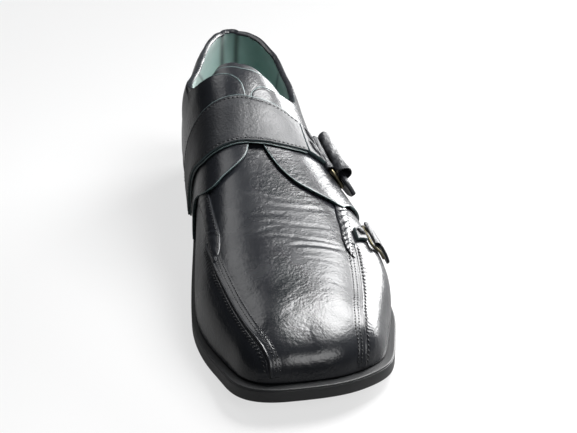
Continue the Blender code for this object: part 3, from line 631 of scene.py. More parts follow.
def sheet(surface, long_lines, wide_lines, base, relief=None):
    """Grids of a sheet: its top is surface(a, b, base + level), its underside surface(a, b, base)."""
    a, level_a = long_lines
    b, level_b = wide_lines
    thick = max(level_a.max(), level_b.max())
    a, b = np.meshgrid(a, b, indexing="ij")
    level = np.minimum(level_a[:, None], level_b[None, :])
    extra = 0.0 if relief is None else relief(a, b) * (level / thick) ** 4
    top = surface(a, b, base + level + extra)
    under = surface(a, b, base + 0.0 * a)
    edge = np.clip(1.0 - (level - (thick - EDGE_SHOWS)) / EDGE_FADES, 0.0, 1.0)
    return [top, under], [edge, (level <= 0.0) * 1.0]


print("lines across a strap 2 mm thick:", len(cut_lines(10, 20.0, 2.0)[0]))

# %% [markdown]
# ## Stitches
# Thread shows as a row of short fat stitches that dip into the leather at both ends. A row could be one
# stitch copied along a curve by an Array modifier, which slides off a surface as round as this one. Here a
# whole row of small bowed rods is worked out at once, each on the leather below it.

# %% Stitches
STITCH_RINGS = 5
STITCH_SIDES = 6
SUNK = 0.15


def stitch_rods(point, normal, x, width, rise, slant):
    """Small rods, one for each row of points: along a stitch x runs from -1 to 1.

    The radius is width / 2 times (1 - x^4)^(1/2), and the middle stands rise times (1 - x^2) above the
    surface. slant turns each stitch across its row, in millimetres.
    """
    sideways = np.cross(normal, unit(np.gradient(point, axis=1)))
    above = rise * (1 - x ** 2) - width * SUNK
    point = point + sideways * (x * slant / 2)[:, None] + normal * above[:, None]
    turn = full_turn(STITCH_SIDES)
    radius = (width / 2 * np.sqrt(np.maximum(0.0, 1 - x ** 4)))[:, None, None]
    return (
        point[:, :, None]
        + sideways[:, :, None] * radius * np.cos(turn)[:, None]
        + normal[:, :, None] * radius * np.sin(turn)[:, None]
    )


def stitch_places(run, count, length):
    """For stitches spread evenly over a run: x along a stitch, and the distances of all their rings."""
    x = np.linspace(-1.0, 1.0, STITCH_RINGS)
    centre = (np.arange(count) + 0.5) * run / count
    return x, centre[:, None] + x * length / 2


def stitch_row(line, lift, pitch, length, width, rise, slant=0.0):
    """A stack of stitches along a line of station and down on the last."""
    run = lengths(on_last(line[:, 0], line[:, 1], lift))
    x, place = stitch_places(run[-1], max(2, int(run[-1] / pitch)), length)
    station = np.interp(place, run, line[:, 0])
    down = np.interp(place, run, line[:, 1])
    point = on_last(station, down, lift)
    return stitch_rods(point, on_last(station, down, lift + 1.0) - point, x, width, rise, slant)


def sew(surface, b, first, last, lift, pitch, length, width, rise):
    """Stitches along a strap at one share of its width, from one share of its length to another."""
    a = np.linspace(first, last, 500)
    points = surface(a, 0.0 * a + b, 0.0 * a + lift)
    outward = surface(a, 0.0 * a + b, 0.0 * a + lift + 1.0) - points
    run = lengths(points)
    x, place = stitch_places(run[-1], max(1, int(round(run[-1] / pitch))), length)
    point, normal = (
        np.stack([np.interp(place, run, column) for column in line.T], axis=-1) for line in (points, outward)
    )
    return stitch_rods(point, unit(normal), x, width, rise, 0.0)


print("a stitch has", STITCH_RINGS * (STITCH_SIDES + 1), "points")

# %% [markdown]
# ## Black calf leather
# The upper is box calf: full grain calfskin, dyed through and finished with wax. The eye gets three
# things from it: fine pebbles of grain that break up the shine, shallow wrinkles where the foot bends,
# and a soft gloss that is sharper on rubbed places. The colour is nearly black with a trace of blue grey.
# A photograph of leather could be wrapped on, but it stretches and shows its seams. Noises that are read
# by place lie evenly on every piece. The real grain is under half a millimetre, too fine for this picture,
# so it is drawn a little coarser. The strap is cut from a duller, more wrinkled part of the skin.

# %% Black calf leather


def calf_leather(name, grain=1.2, grain_depth=0.05, wrinkle_depth=0.17, flex_depth=0.08, gloss=0.24):
    """Box calf: grain is the size of its pebbles and the depths are how deep each pattern is, in millimetres.

    The flex wrinkles run across the foot, so their noise is stretched along X. They fade towards the toe,
    from 42 to 84 mm behind it, and again over the instep, by their place along Y in metres.
    """
    material, tree, shader = new_material(name)
    place = add_node(tree, "ShaderNodeTexCoord").outputs["Object"]
    pebbles = add_node(
        tree, "ShaderNodeTexVoronoi", {"feature": "SMOOTH_F1"},
        {"Scale": 1000 / grain, "Smoothness": 0.6, "Randomness": 1.0}, {"Vector": place},
    )
    wrinkles = add_node(
        tree, "ShaderNodeTexNoise", None,
        {"Scale": 230.0, "Detail": 4.0, "Roughness": 0.55, "Distortion": 0.4}, {"Vector": place},
    )
    stretched = add_node(tree, "ShaderNodeMapping", None, {"Scale": (0.30, 1.5, 0.9)}, {"Vector": place})
    flex = add_node(
        tree, "ShaderNodeTexNoise", None,
        {"Scale": 170.0, "Detail": 5.0, "Roughness": 0.6, "Distortion": 0.5},
        {"Vector": stretched.outputs["Vector"]},
    )
    split = add_node(tree, "ShaderNodeSeparateXYZ", None, None, {"Vector": place})
    behind_toe = add_node(
        tree, "ShaderNodeMapRange", {"interpolation_type": "SMOOTHSTEP"},
        {"From Min": -0.112, "From Max": -0.070, "To Min": 0.3, "To Max": 1.0}, {"Value": split.outputs["Y"]},
    )
    before_instep = add_node(
        tree, "ShaderNodeMapRange", {"interpolation_type": "SMOOTHSTEP"},
        {"From Min": -0.02, "From Max": 0.02, "To Min": 1.0, "To Max": 0.25}, {"Value": split.outputs["Y"]},
    )
    zone = add_node(
        tree, "ShaderNodeMath", {"operation": "MULTIPLY"}, None,
        {0: behind_toe.outputs["Result"], 1: before_instep.outputs["Result"]},
    )
    creased = add_node(
        tree, "ShaderNodeBump", None, {"Distance": flex_depth * MM},
        {"Height": flex.outputs["Fac"], "Strength": zone.outputs["Value"]},
    )
    patches = add_node(
        tree, "ShaderNodeTexNoise", None, {"Scale": 28.0, "Detail": 3.0, "Roughness": 0.5}, {"Vector": place},
    )
    shade = add_node(
        tree, "ShaderNodeMix", {"data_type": "RGBA"}, {"A": linear("#0e0f12"), "B": linear("#191b1f")},
        {"Factor": patches.outputs["Fac"]},
    )
    edge = add_node(tree, "ShaderNodeAttribute", {"attribute_name": "cut_edge"})
    painted = add_node(
        tree, "ShaderNodeMix", {"data_type": "RGBA"}, {"B": linear("#3f4f50")},
        {"Factor": edge.outputs["Fac"], "A": shade.outputs["Result"]},
    )
    rough = add_node(
        tree, "ShaderNodeMapRange", None,
        {"From Min": 0.3, "From Max": 0.7, "To Min": gloss - 0.05, "To Max": gloss + 0.09},
        {"Value": patches.outputs["Fac"]},
    )
    big = add_node(
        tree, "ShaderNodeBump", None, {"Strength": 1.0, "Distance": wrinkle_depth * MM},
        {"Height": wrinkles.outputs["Fac"], "Normal": creased.outputs["Normal"]},
    )
    small = add_node(
        tree, "ShaderNodeBump", None, {"Strength": 1.0, "Distance": grain_depth * MM},
        {"Height": pebbles.outputs["Distance"], "Normal": big.outputs["Normal"]},
    )
    tree.links.new(painted.outputs["Result"], shader.inputs["Base Color"])
    tree.links.new(rough.outputs["Result"], shader.inputs["Roughness"])
    tree.links.new(small.outputs["Normal"], shader.inputs["Normal"])
    shader.inputs["IOR"].default_value = 1.45
    return material


CALF = calf_leather("box_calf")
STRAP_CALF = calf_leather("strap_calf", grain_depth=0.07, wrinkle_depth=0.22, gloss=0.43)
print("leather:", CALF.name, STRAP_CALF.name)

# %% [markdown]
# ## Thread, lining, rubber, brass and edge wax
# The thread is waxed black linen. The lining is unfinished sheepskin, matt and grey green. The sole and
# heel are moulded rubber with a satin edge. The rings are cast brass that has gone dull, and the raw edges
# are rubbed with wax. Apart from the thread, each has two shades that drift into each other as clouds,
# because one flat colour never looks like a real surface. So one function starts them all and says how
# large the clouds are and how deep a fine grain is pressed in. Sheepskin then adds its darker seams and
# painted shade in two stripes at the heel, and brass adds its own cloudy polish. Each grain is finer than
# the picture can show as form, and so it only softens the shine.

# %% Thread, lining, rubber, brass and edge wax


def clouded_finish(name, roughness, shades, cloud=None, grain=None):
    """A finish with one colour or two shades in clouds, and a fine grain in its surface.

    cloud is the noise of the shades, as scale and detail. grain is scale, detail, strength and depth in
    millimetres. A scale is the number of waves in a metre. The colour's and the clouds' nodes come back too.
    """
    material, tree, shader = new_material(name)
    shader.inputs["Roughness"].default_value = roughness
    place = add_node(tree, "ShaderNodeTexCoord").outputs["Object"]
    if grain:
        scale, detail, strength, depth = grain
        noise = add_node(
            tree, "ShaderNodeTexNoise", None, {"Scale": scale, "Detail": detail}, {"Vector": place},
        )
        bump = add_node(
            tree, "ShaderNodeBump", None, {"Strength": strength, "Distance": depth * MM},
            {"Height": noise.outputs["Fac"]},
        )
        tree.links.new(bump.outputs["Normal"], shader.inputs["Normal"])
    if cloud is None:
        shader.inputs["Base Color"].default_value = linear(shades[0])
        return material, tree, shader, None, None
    scale, detail = cloud
    clouds = add_node(tree, "ShaderNodeTexNoise", None, {"Scale": scale, "Detail": detail}, {"Vector": place})
    shade = add_node(
        tree, "ShaderNodeMix", {"data_type": "RGBA"}, {"A": linear(shades[0]), "B": linear(shades[1])},
        {"Factor": clouds.outputs["Fac"]},
    )
    tree.links.new(shade.outputs["Result"], shader.inputs["Base Color"])
    return material, tree, shader, shade, clouds


def sheepskin():
    """Unfinished sheepskin, matt with a soft nap: darker along its seams, with painted shade at the heel."""
    colours = ("#667f7a", "#91a8a3")
    material, tree, shader, shade, clouds = clouded_finish(
        "sheepskin", 0.82, colours, (45.0, 4.0), (900.0, 3.0, 0.8, 0.1),
    )
    # Darker along the seams, the lining's own, and painted shade in two stripes at the heel, to a dark grey
    # green.
    seams_and_heel_shade = add_node(tree, "ShaderNodeAttribute", {"attribute_name": "seam_and_fold_shade"})
    darkened = add_node(
        tree, "ShaderNodeMix", {"data_type": "RGBA"}, {"B": linear("#1d2826")},
        {"Factor": seams_and_heel_shade.outputs["Fac"], "A": shade.outputs["Result"]},
    )
    tree.links.new(darkened.outputs["Result"], shader.inputs["Base Color"])
    shader.inputs["Sheen Weight"].default_value = 0.2
    return material


def dull_brass():
    """Cast brass, aged: a yellow grey metal whose polish has gone cloudy, so its roughness drifts too."""
    material, tree, shader, shade, clouds = clouded_finish(
        "aged_brass", 0.3, ("#36332a", "#77705a"), (300.0, 4.0),
    )
    rough = add_node(
        tree, "ShaderNodeMapRange", None, {"To Min": 0.22, "To Max": 0.42}, {"Value": clouds.outputs["Fac"]},
    )
    tree.links.new(rough.outputs["Result"], shader.inputs["Roughness"])
    shader.inputs["Metallic"].default_value = 1.0
    return material


EDGE_WAX = clouded_finish("burnished_edge", 0.34, ("#2a3535", "#647474"), (220.0, 3.0))[0]
THREAD = clouded_finish("waxed_thread", 0.5, ("#101113",), None, (2500.0, 2.0, 1.0, 0.06))[0]
SHEEPSKIN = sheepskin()
RUBBER = clouded_finish(
    "moulded_rubber", 0.48, ("#0b0c0d", "#131416"), (60.0, 6.0), (1400.0, 2.0, 0.7, 0.05),
)[0]
BRASS = dull_brass()
print("finishes:", [item.name for item in bpy.data.materials])

# %% [markdown]
# ## Lines of the pieces
# On a real last a pattern cutter draws the edge of each piece in pencil before cutting. The same is done
# here: each edge is a short table of places, as a station and a length down the rib, or across the last on
# the strap's inner side, where it is negative. Blender's curves could hold these lines as well, but places
# on the last move along when the last changes.

# %% Lines of the quarters
# The top edge of the upper, higher on the inner side
TOPLINE = (
    # station, outer height, inner height
    (180.0, 95.0, 120.0),
    (184.0, 90.5, 120.0),
    (187.3, 84.5, 110.0),
    (193.0, 81.5, 98.8),
    (197.0, 80.6, 97.0),
    (200.0, 80.3, 92.0),
    (204.0, 80.0, 87.6),
    (210.0, 80.2, 85.2),
    (219.0, 81.5, 84.8),
    (232.0, 83.0, 86.0),
    (248.0, 84.2, 87.4),
    (254.5, 85.6, 88.3),
    (259.0, 87.4, 89.0),
    (263.0, 89.0, 89.8),
    (266.5, 90.1, 90.7),
    (269.0, 90.7, 91.0),
    (270.4, 90.7, 90.8),
    (271.0, 90.4, 90.4),
)

# The front edges of the two flaps, from the middle of the instep down to the sole, and their top corners
OUTER_FACING = (
    # station, down
    (183.0, 2.6),
    (170.0, 3.0),
    (158.0, 4.0),
    (150.6, 6.2),
    (143.2, 8.6),
    (133.4, 12.4),
    (124.1, 18.5),
    (117.7, 27.0),
    (113.6, 35.5),
    (112.0, 38.6),
    (111.6, 41.0),
    (113.6, 43.6),
    (117.5, 49.0),
    (122.0, 60.0),
    (130.0, 75.0),
    (136.0, 92.6),
)
OUTER_CORNER = (
    # station, down
    (183.0, 2.6),
    (185.6, 5.0),
    (187.4, 9.0),
    (186.4, 14.5),
    (185.0, 21.5),
    (185.2, 29.0),
    (187.6, 35.0),
)
INNER_FACING = (
    # station, down
    (184.0, 1.2),
    (170.0, 1.2),
    (160.0, 1.4),
    (153.1, 2.4),
    (146.6, 4.4),
    (141.0, 9.0),
    (135.0, 18.0),
    (132.0, 26.0),
    (133.6, 31.0),
    (137.5, 36.0),
    (143.0, 41.5),
    (149.0, 49.0),
    (154.0, 60.0),
    (158.0, 81.0),
)
INNER_CORNER = (
    # station, down
    (184.0, 1.2),
    (189.5, 2.0),
    (193.4, 4.6),
    (196.2, 9.5),
    (197.6, 15.5),
    (199.0, 23.0),
    (202.7, 33.0),
)
print("facings:", len(OUTER_FACING), "and", len(INNER_FACING), "places")

# %% Lines of the tabs
# The tapered tabs that come out from under the flaps and end on the seams
OUTER_TAB = (
    # station, front down, back down
    (113.0, 37.2, 45.0),
    (104.3, 35.6, 43.0),
    (96.7, 35.0, 41.4),
    (88.0, 33.6, 38.8),
    (82.4, 34.0, 37.4),
    (78.0, 36.2, 37.4),
)
INNER_TAB = (
    # station, front down, back down
    (141.0, 34.5, 45.0),
    (131.0, 31.0, 42.0),
    (121.8, 30.6, 39.6),
    (111.0, 30.2, 39.0),
    (102.7, 30.0, 38.6),
    (92.2, 32.2, 38.4),
    (87.0, 36.2, 38.2),
)
print("tabs:", len(OUTER_TAB), "and", len(INNER_TAB), "places")

# %% Lines of the straps and buckles
# A strap is given by its two edges: down is negative on the inner side
MAIN_STRAP = (
    # back down, front down, back station, front station
    (-80.0, -80.0, 190.0, 170.0),
    (-66.0, -66.0, 188.0, 168.0),
    (-50.0, -50.0, 185.0, 164.0),
    (-38.0, -38.0, 182.4, 158.4),
    (-28.0, -28.0, 180.8, 153.0),
    (-18.0, -18.0, 180.3, 151.6),
    (-4.0, -4.0, 181.0, 152.4),
    (6.0, 6.0, 178.0, 150.8),
    (15.0, 16.0, 174.6, 148.2),
    (22.0, 24.0, 171.0, 147.2),
    (27.6, 30.2, 168.9, 147.4),
)
MAIN_PLATE = (
    # back down, front down, back station, front station
    (28.4, 31.0, 168.7, 148.4),
    (31.2, 34.6, 168.4, 147.6),
    (34.0, 38.2, 167.6, 147.2),
    (36.8, 42.0, 166.6, 147.0),
)
SMALL_STRAP = (
    # back down, front down, back station, front station
    (42.6, 42.6, 97.6, 90.2),
    (46.0, 46.0, 99.4, 92.0),
    (49.4, 49.8, 101.3, 93.5),
)
# The ring, the bar and the tail of each buckle
RING_MAIN = (
    # station, down
    (169.5, 40.6),
    (141.5, 45.8),
    (142.0, 57.0),
    (166.0, 54.0),
)
BAR_MAIN = (
    # station, down
    (172.4, 44.4),
    (157.0, 47.0),
    (141.4, 49.8),
)
TAIL_MAIN = (
    # back down, front down, back station, front station
    (52.2, 55.2, 162.0, 133.6),
    (55.0, 56.8, 162.5, 133.0),
    (58.0, 58.4, 161.5, 134.6),
    (61.5, 61.2, 158.0, 139.0),
    (63.4, 63.2, 153.0, 144.0),
)
RING_SMALL = (
    # station, down
    (104.0, 50.6),
    (91.4, 52.6),
    (95.0, 66.6),
    (107.6, 64.6),
)
BAR_SMALL = (
    # station, down
    (105.0, 52.0),
    (92.0, 54.6),
)
TAIL_SMALL = (
    # back down, front down, back station, front station
    (57.0, 59.2, 105.4, 95.4),
    (62.0, 64.0, 107.4, 94.4),
    (67.0, 68.0, 107.4, 94.4),
    (71.0, 71.6, 105.6, 96.8),
)
print("instep strap:", len(MAIN_STRAP), "places, its plate:", len(MAIN_PLATE))

# %% Lines of the tongue
# The tongue's top edge, from the outer side round to the inner side
TONGUE_TOP = (
    # down, station
    (35.0, 187.0),
    (28.6, 195.0),
    (18.0, 201.6),
    (6.0, 206.0),
    (-4.0, 208.6),
    (-13.0, 208.2),
    (-22.0, 205.2),
    (-30.0, 200.2),
    (-34.6, 192.4),
)
TONGUE_FOOT = 150.0
TONGUE_TAPER = 0.78
print("tongue's top edge:", len(TONGUE_TOP), "places")

# %% [markdown]
# ## The vamp and the upper
# The vamp is the leather over the toes. It is one sheet pulled down over the last, so here it is one grid
# that runs from the toe to the throat and from the inner side to the outer side. Where the foot bends, the
# leather has taken creases: each is a narrow valley with a low fold on either side. Cloth simulation is
# the usual way to such folds, but this leather is held by the last and the photograph shows each crease,
# so they are placed one by one. Behind the throat the upper goes on beneath the quarters, round the
# opening for the foot. That part is a patch between four edge lines, blended so that each edge is met.

# %% Blend a patch between four edge lines
THROAT = 176.0
THROAT_SIDE = (180.0, 0.4)
CORNER_REACH = 3.0
TOPLINE_PLACES = 34
SOFTEN_REACH = 36


def down_at_height(side, station, height):
    """Length down to where each rib passes a height, or its whole length where it stays above."""
    share = np.linspace(0.0, 1.0, 2500)
    down = side.total(station)[:, None] * share
    rib = side.at(station[:, None] + 0.0 * down, down)[..., 2]
    below = rib <= np.asarray(height)[:, None]
    first = np.where(below.any(axis=1), below.argmax(axis=1), len(share) - 1)
    return down[np.arange(len(station)), first]


def topline_rows(side, start, back_gap):
    """The top edge from a station to the heel, as places among the ribs and lengths down."""
    rows = np.linspace(side.row_of(start), len(side.station) - 1 - back_gap, TOPLINE_PLACES)
    station = side.station_of(rows)
    height = smooth_rows(TOPLINE, station)[:, 0 if side is OUTER else 1]
    return np.column_stack([rows, down_at_height(side, station, height)])


def soften(line, reach):
    """Even out a line of points: each becomes the mean of its neighbours, fewer of them towards the ends."""
    count = len(line)
    near = np.minimum(np.minimum(np.arange(count), np.arange(count)[::-1]), reach)
    total = np.vstack([np.zeros((1, line.shape[1])), np.cumsum(line, axis=0)])
    index = np.arange(count)
    return (total[index + near + 1] - total[index - near]) / (2 * near + 1)[:, None]


def quarter_patch(side, facing, corner, back_gap, foot_gap):
    """The function that blends the four edges of one quarter, and its top edge.

    With top(a), bottom(a), front(b) and back(b), a place is (1-b) top + b bottom + (1-a) front + a back
    less the four corners, each times the shares of its two sides.
    """
    facing = np.asarray(facing, float)
    corner = np.asarray(corner, float)
    spacing = np.linalg.norm(side.edge[1] - side.edge[0])
    top = np.vstack([
        np.column_stack([side.row_of(corner[:, 0]), corner[:, 1]]),
        topline_rows(side, corner[-1, 0] + CORNER_REACH, back_gap / spacing),
    ])
    top = soften(smooth_path(top), SOFTEN_REACH)
    rows = np.linspace(side.row_of(facing[-1, 0]), top[-1, 0], 60)
    bottom = np.column_stack([rows, side.total(side.station_of(rows)) - foot_gap])
    front = np.column_stack([side.row_of(facing[:, 0]), facing[:, 1]])
    front[-1] = bottom[0]
    front = smooth_path(front)
    back = np.array([top[-1], bottom[-1]])

    def place(a, b):
        one = a[..., None]
        two = b[..., None]
        joined = (
            (1 - two) * at_shares(top, a) + two * at_shares(bottom, a)
            + (1 - one) * at_shares(front, b) + one * at_shares(back, b)
            - (1 - one) * (1 - two) * top[0] - one * (1 - two) * top[-1]
            - (1 - one) * two * bottom[0] - one * two * bottom[-1]
        )
        return joined[..., 0], joined[..., 1]

    return place, top


def rear_patch(side, corner):
    """The upper's own patch behind the throat, on one side."""
    throat = np.column_stack([np.full(30, THROAT), np.linspace(0.0, float(side.total(THROAT)), 30)])
    rim = np.vstack([(THROAT, 0.0), THROAT_SIDE, np.asarray(corner)[1:]])
    return quarter_patch(side, throat, rim, 0.0, 0.0)


print("throat to sole, outer side:", round(float(OUTER.total(THROAT))), "mm")

# %% Creases where the foot bends
CREASES = (
    # station at the spine, bow, first down, last down, depth, width
    (80.5, 3.0, 3.0, 34.0, 0.272, 1.3),
    (83.6, 4.0, 12.0, 33.0, 0.16, 1.1),
    (88.5, -3.0, -12.0, 24.0, 0.08, 1.2),
    (93.5, 2.0, -30.0, 6.0, 0.072, 1.2),
    (98.0, -4.0, -8.0, 30.0, 0.104, 1.4),
    (104.5, -2.0, -24.0, 16.0, 0.072, 1.4),
    (110.5, -6.0, -2.0, 33.0, 0.112, 1.6),
    (117.0, -5.0, -18.0, 12.0, 0.064, 1.5),
    (76.5, 1.0, -34.0, -8.0, 0.064, 1.1),
    (72.0, 2.0, 6.0, 30.0, 0.056, 1.0),
)


def vamp_relief(station, down):
    """How far the vamp stands off the last, in millimetres.

    Each crease runs across at station + bow (0.4 sin(down / 9) + ((down - first) / 40)^2). Across it, with
    t the distance over its width, the leather follows -depth (1 - t^2) exp(-t^2 / 2), a valley with a low
    fold on both sides. Its depth fades to nothing at its two ends.
    """
    raised = 0.0 * station * down
    for centre, bow, first, last, depth, width in CREASES:
        line = centre + bow * np.sin(down / 9.0) * 0.4 + bow * ((down - first) / 40.0) ** 2
        t = (station - line) / width
        share = np.clip((down - first) / (last - first), 0.0, 1.0)
        raised = raised - depth * (1 - t ** 2) * np.exp(-t ** 2 / 2) * np.sin(math.pi * share) ** 0.7
    return raised


print("creases:", len(CREASES))

# %% The vamp and the upper


def whole_rows(first, last, rows, columns):
    """Stations and signed lengths down of a grid over both sides, from one station to another."""
    row = np.linspace(OUTER.row_of(first), OUTER.row_of(last), rows)
    station = OUTER.station_of(row)[:, None]
    share = np.linspace(-1.0, 1.0, columns)[None, :]
    down = np.where(share >= 0, share * OUTER.total(station), share * INNER.total(station))
    return station + 0.0 * share, down


def shell_stacks(outer_lift, inner_lift, front_rows, columns, rear_rows, relief=None):
    """Two skins over the whole upper, at two lifts, joined at the foot and at the rim of the opening."""
    station, down = whole_rows(OUTER.station[0], THROAT, front_rows, columns)
    extra = 0.0 if relief is None else relief(station, down)
    skins = [on_last(station, down, outer_lift + extra), on_last(station, down, inner_lift)]
    closing = [np.stack([skins[0][:, end], skins[1][:, end]], axis=1) for end in (0, -1)]
    for side, corner in ((OUTER, OUTER_CORNER), (INNER, INNER_CORNER)):
        place = rear_patch(side, corner)[0]
        a, b = np.meshgrid(np.linspace(0, 1, rear_rows), np.linspace(0, 1, columns // 2 + 1), indexing="ij")
        row, down = place(a, b)
        pair = [side.at_row(row, down, lift) for lift in (outer_lift, inner_lift)]
        skins += pair
        closing += [np.stack([pair[0][:, end], pair[1][:, end]], axis=1) for end in (0, -1)]
    return skins + closing


stacks = shell_stacks(0.0, -0.6, 212, 181, 62, vamp_relief)
make_piece("upper_skin", stacks, CALF, ["upper"])

# %% [markdown]
# ## The lining
# Inside, the shoe is lined with grey green sheepskin, which shows round the opening. It could be the inner
# face of the upper in another colour, but as a second shell it keeps its own edge at the rim. Two seams run
# down it in front, where the heel part of the lining begins, and are darker along their lines. At the heel
# two stripes of painted shade stand where shallow folds would shade the lining, for the shell has no folds.
# One value on the points carries both, the darker seams and the painted shade.

# %% The lining
LINING_SEAMS = (
    # side, and its line as station and down
    (1.0, ((222.0, 34.0), (232.0, 40.0), (247.0, 51.0), (256.0, 62.0), (261.0, 80.0))),
    (-1.0, ((238.0, 32.0), (252.0, 44.0), (262.0, 53.0), (266.0, 60.0), (268.0, 80.0))),
)
SEAM_HALF = 1.2
FOLD_ASIDE = 4.6
FOLD_HALF = 1.6
FOLD_FRONT = 22.0
FOLD_FADE = 8.0
# Strength of the painted shade in the two heel stripes
FOLD_PAINTED_SHADE = 0.8


def lining_marks(points):
    """How dark each point of the lining is, as bells round the two seams and in two stripes at the heel."""
    dark = np.zeros(points.shape[:-1])
    flat = points.reshape(-1, 3)
    for sign, rows in LINING_SEAMS:
        path = smooth_path(rows, 80)
        near = np.full(len(flat), np.inf)
        for point in on_last(path[:, 0], sign * path[:, 1], -2.0):
            near = np.minimum(near, np.linalg.norm(flat - point, axis=1))
        dark = np.maximum(dark, np.exp(-(near / SEAM_HALF) ** 2).reshape(dark.shape))
    # The two heel stripes are painted shade, where shallow folds would darken the lining.
    middle = on_last(np.array([OUTER.station[-1]]), np.array([0.0]))[0]
    aside = np.abs(points[..., 0] - middle[0])
    behind = np.clip((points[..., 1] - middle[1] + FOLD_FRONT) / FOLD_FADE, 0.0, 1.0)
    return np.maximum(dark, FOLD_PAINTED_SHADE * np.exp(-((aside - FOLD_ASIDE) / FOLD_HALF) ** 2) * behind)


stacks = shell_stacks(-0.65, -1.4, 60, 101, 170)
marks = {"seam_and_fold_shade": [lining_marks(stack) for stack in stacks]}
make_piece("lining_skin", stacks, SHEEPSKIN, (), marks)

# %% [markdown]
# ## The quarters
# The quarters are the two leather sides that wrap the heel and come forward as flaps over the instep. They
# could be cut out of the upper with a knife tool, which leaves a ragged edge. The same patch as for the
# upper, between four smooth lines, gives them clean ones. They lie on the upper and are thinner along the
# top, as skived leather is. Where the ankle bends they take a few soft folds.

# %% The quarters
QUARTER_TOP = 2.25
QUARTER_BASE = 0.65
QUARTER_THICK = QUARTER_TOP - QUARTER_BASE
BACK_SEAM = 0.7
FOOT_GAP = 0.6
QUARTER_LONG = 180.0
QUARTER_HIGH = 80.0
SKIVED = 1.2


def quarter_relief(a, b):
    """Soft folds of the quarter, long shallow waves that lean back, less what is skived off near its top."""
    fold = np.sin(9.0 * a + 5.0 * b) + 0.6 * np.sin(21.0 * a - 9.0 * b + 1.0)
    taper = SKIVED * np.exp(-(b / 0.10) ** 2) * np.clip((a - 0.22) / 0.15, 0.0, 1.0)
    return 0.12 * fold * np.sin(math.pi * b) * np.sin(math.pi * a) - taper


for name, side, facing, corner in (
    ("quarter_lateral", OUTER, OUTER_FACING, OUTER_CORNER),
    ("quarter_medial", INNER, INNER_FACING, INNER_CORNER),
):
    place = quarter_patch(side, facing, corner, BACK_SEAM, FOOT_GAP)[0]

    def quarter_surface(a, b, lift, side=side, place=place):
        """Points of one quarter by its two shares."""
        row, down = place(a, b)
        return side.at_row(row, down, lift)

    stacks, edge = sheet(
        quarter_surface, cut_lines(180, QUARTER_LONG, QUARTER_THICK, 0.3),
        cut_lines(120, QUARTER_HIGH, QUARTER_THICK, 0.3), QUARTER_BASE, quarter_relief,
    )
    make_piece(name + "_leather", stacks, CALF, [name], {"cut_edge": edge})

# %% [markdown]
# ## Collar binding
# A narrow strip of soft leather is folded over the top edge and hides where the outside meets the lining. A
# bevelled curve would twist where the edge turns down to the flaps, so its section is carried along the
# top edge with its width across the wall and its height upright. It is an oval, flatter above than below.

# %% Collar binding
BINDING_POINTS = 220
BINDING_HALF = 1.6
BINDING_MIDDLE = 0.05
BINDING_ABOVE = 0.55
BINDING_BELOW = 1.1


def binding_side(side, corner, start, turn):
    """The binding of one side: the section's width and height grow from nothing over its first few lines."""
    rim = rear_patch(side, corner)[1]
    rim = even_points(rim[rim[:, 0] > side.row_of(start)], BINDING_POINTS)
    swell = np.sqrt(np.clip(np.linspace(0.0, 24.0, BINDING_POINTS), 0.0, 1.0))[:, None]
    lift = BINDING_MIDDLE + BINDING_HALF * np.cos(turn)[None, :] * swell
    tall = np.where(turn <= math.pi, BINDING_ABOVE, BINDING_BELOW)
    ring = side.at_row(rim[:, 0, None] + 0.0 * lift, rim[:, 1, None] + 0.0 * lift, lift)
    ring[..., 2] += (tall * np.sin(turn))[None, :] * swell
    return ring


turn = full_turn(28)
rings = [binding_side(OUTER, OUTER_CORNER, 188.2, turn), binding_side(INNER, INNER_CORNER, 203.5, turn)]
meeting = (rings[0][-1] + rings[1][-1]) / 2
for ring in rings:
    ring[-1] = meeting
make_piece("collar_binding", rings, CALF, ["collar_piping"])

# %% [markdown]
# ## The tongue
# The tongue lies under the flaps, with its rounded top showing above them. It is two layers: the front one
# ends a little lower, so the one behind it shows as a second edge. Only its top edge is drawn. The rest is
# straight lines from there down to its narrow foot, as on a real tongue, which bends but never stretches.

# %% The tongue
TONGUE_LIFT = -3.3
TONGUE_WIDE = 80.0
TONGUE_LONG = 50.0
FRONT_LOWER = 3.6
BACKING_HIGHER = 0.9
tongue_top = smooth_path(TONGUE_TOP)


def tongue_surface(taller):
    """Across the tongue by a, up it by b: each line runs straight from its foot to a point of its top."""
    def surface(a, b, lift):
        top = at_shares(tongue_top, a)
        reach = top[..., 1] + taller * np.sin(math.pi * a) ** 2
        station = TONGUE_FOOT + (reach - TONGUE_FOOT) * b
        down = top[..., 0] * (TONGUE_TAPER + (1.0 - TONGUE_TAPER) * b)
        return on_last(station, down, lift)

    return surface


for name, taller, thick, base, nodes in (
    ("tongue_leather", -FRONT_LOWER, 1.2, TONGUE_LIFT - 1.2, ["tongue"]),
    ("tongue_backing", BACKING_HIGHER, 1.1, TONGUE_LIFT - 2.4, []),
):
    stacks, edge = sheet(
        tongue_surface(taller), cut_lines(100, TONGUE_WIDE, thick), cut_lines(60, TONGUE_LONG, thick), base,
    )
    make_piece(name, stacks, CALF, nodes, {"cut_edge": edge})

# %% [markdown]
# ## Toe seams
# Two seams run from the tabs to the toe, where the vamp's middle is sewn over its sides. The middle's
# edge stands up as a ridge that drops sharply on its outer side. Two rows of fine stitches hold it down,
# and outside it one row of coarse stitches gathers the side leather into small puckers. A displaced vamp
# would need far finer faces all over, so all of that is one strip laid over it, whose height is worked out
# across the seam and along it.

# %% Lines beside a line on the last
ASIDE_STEP = 0.4


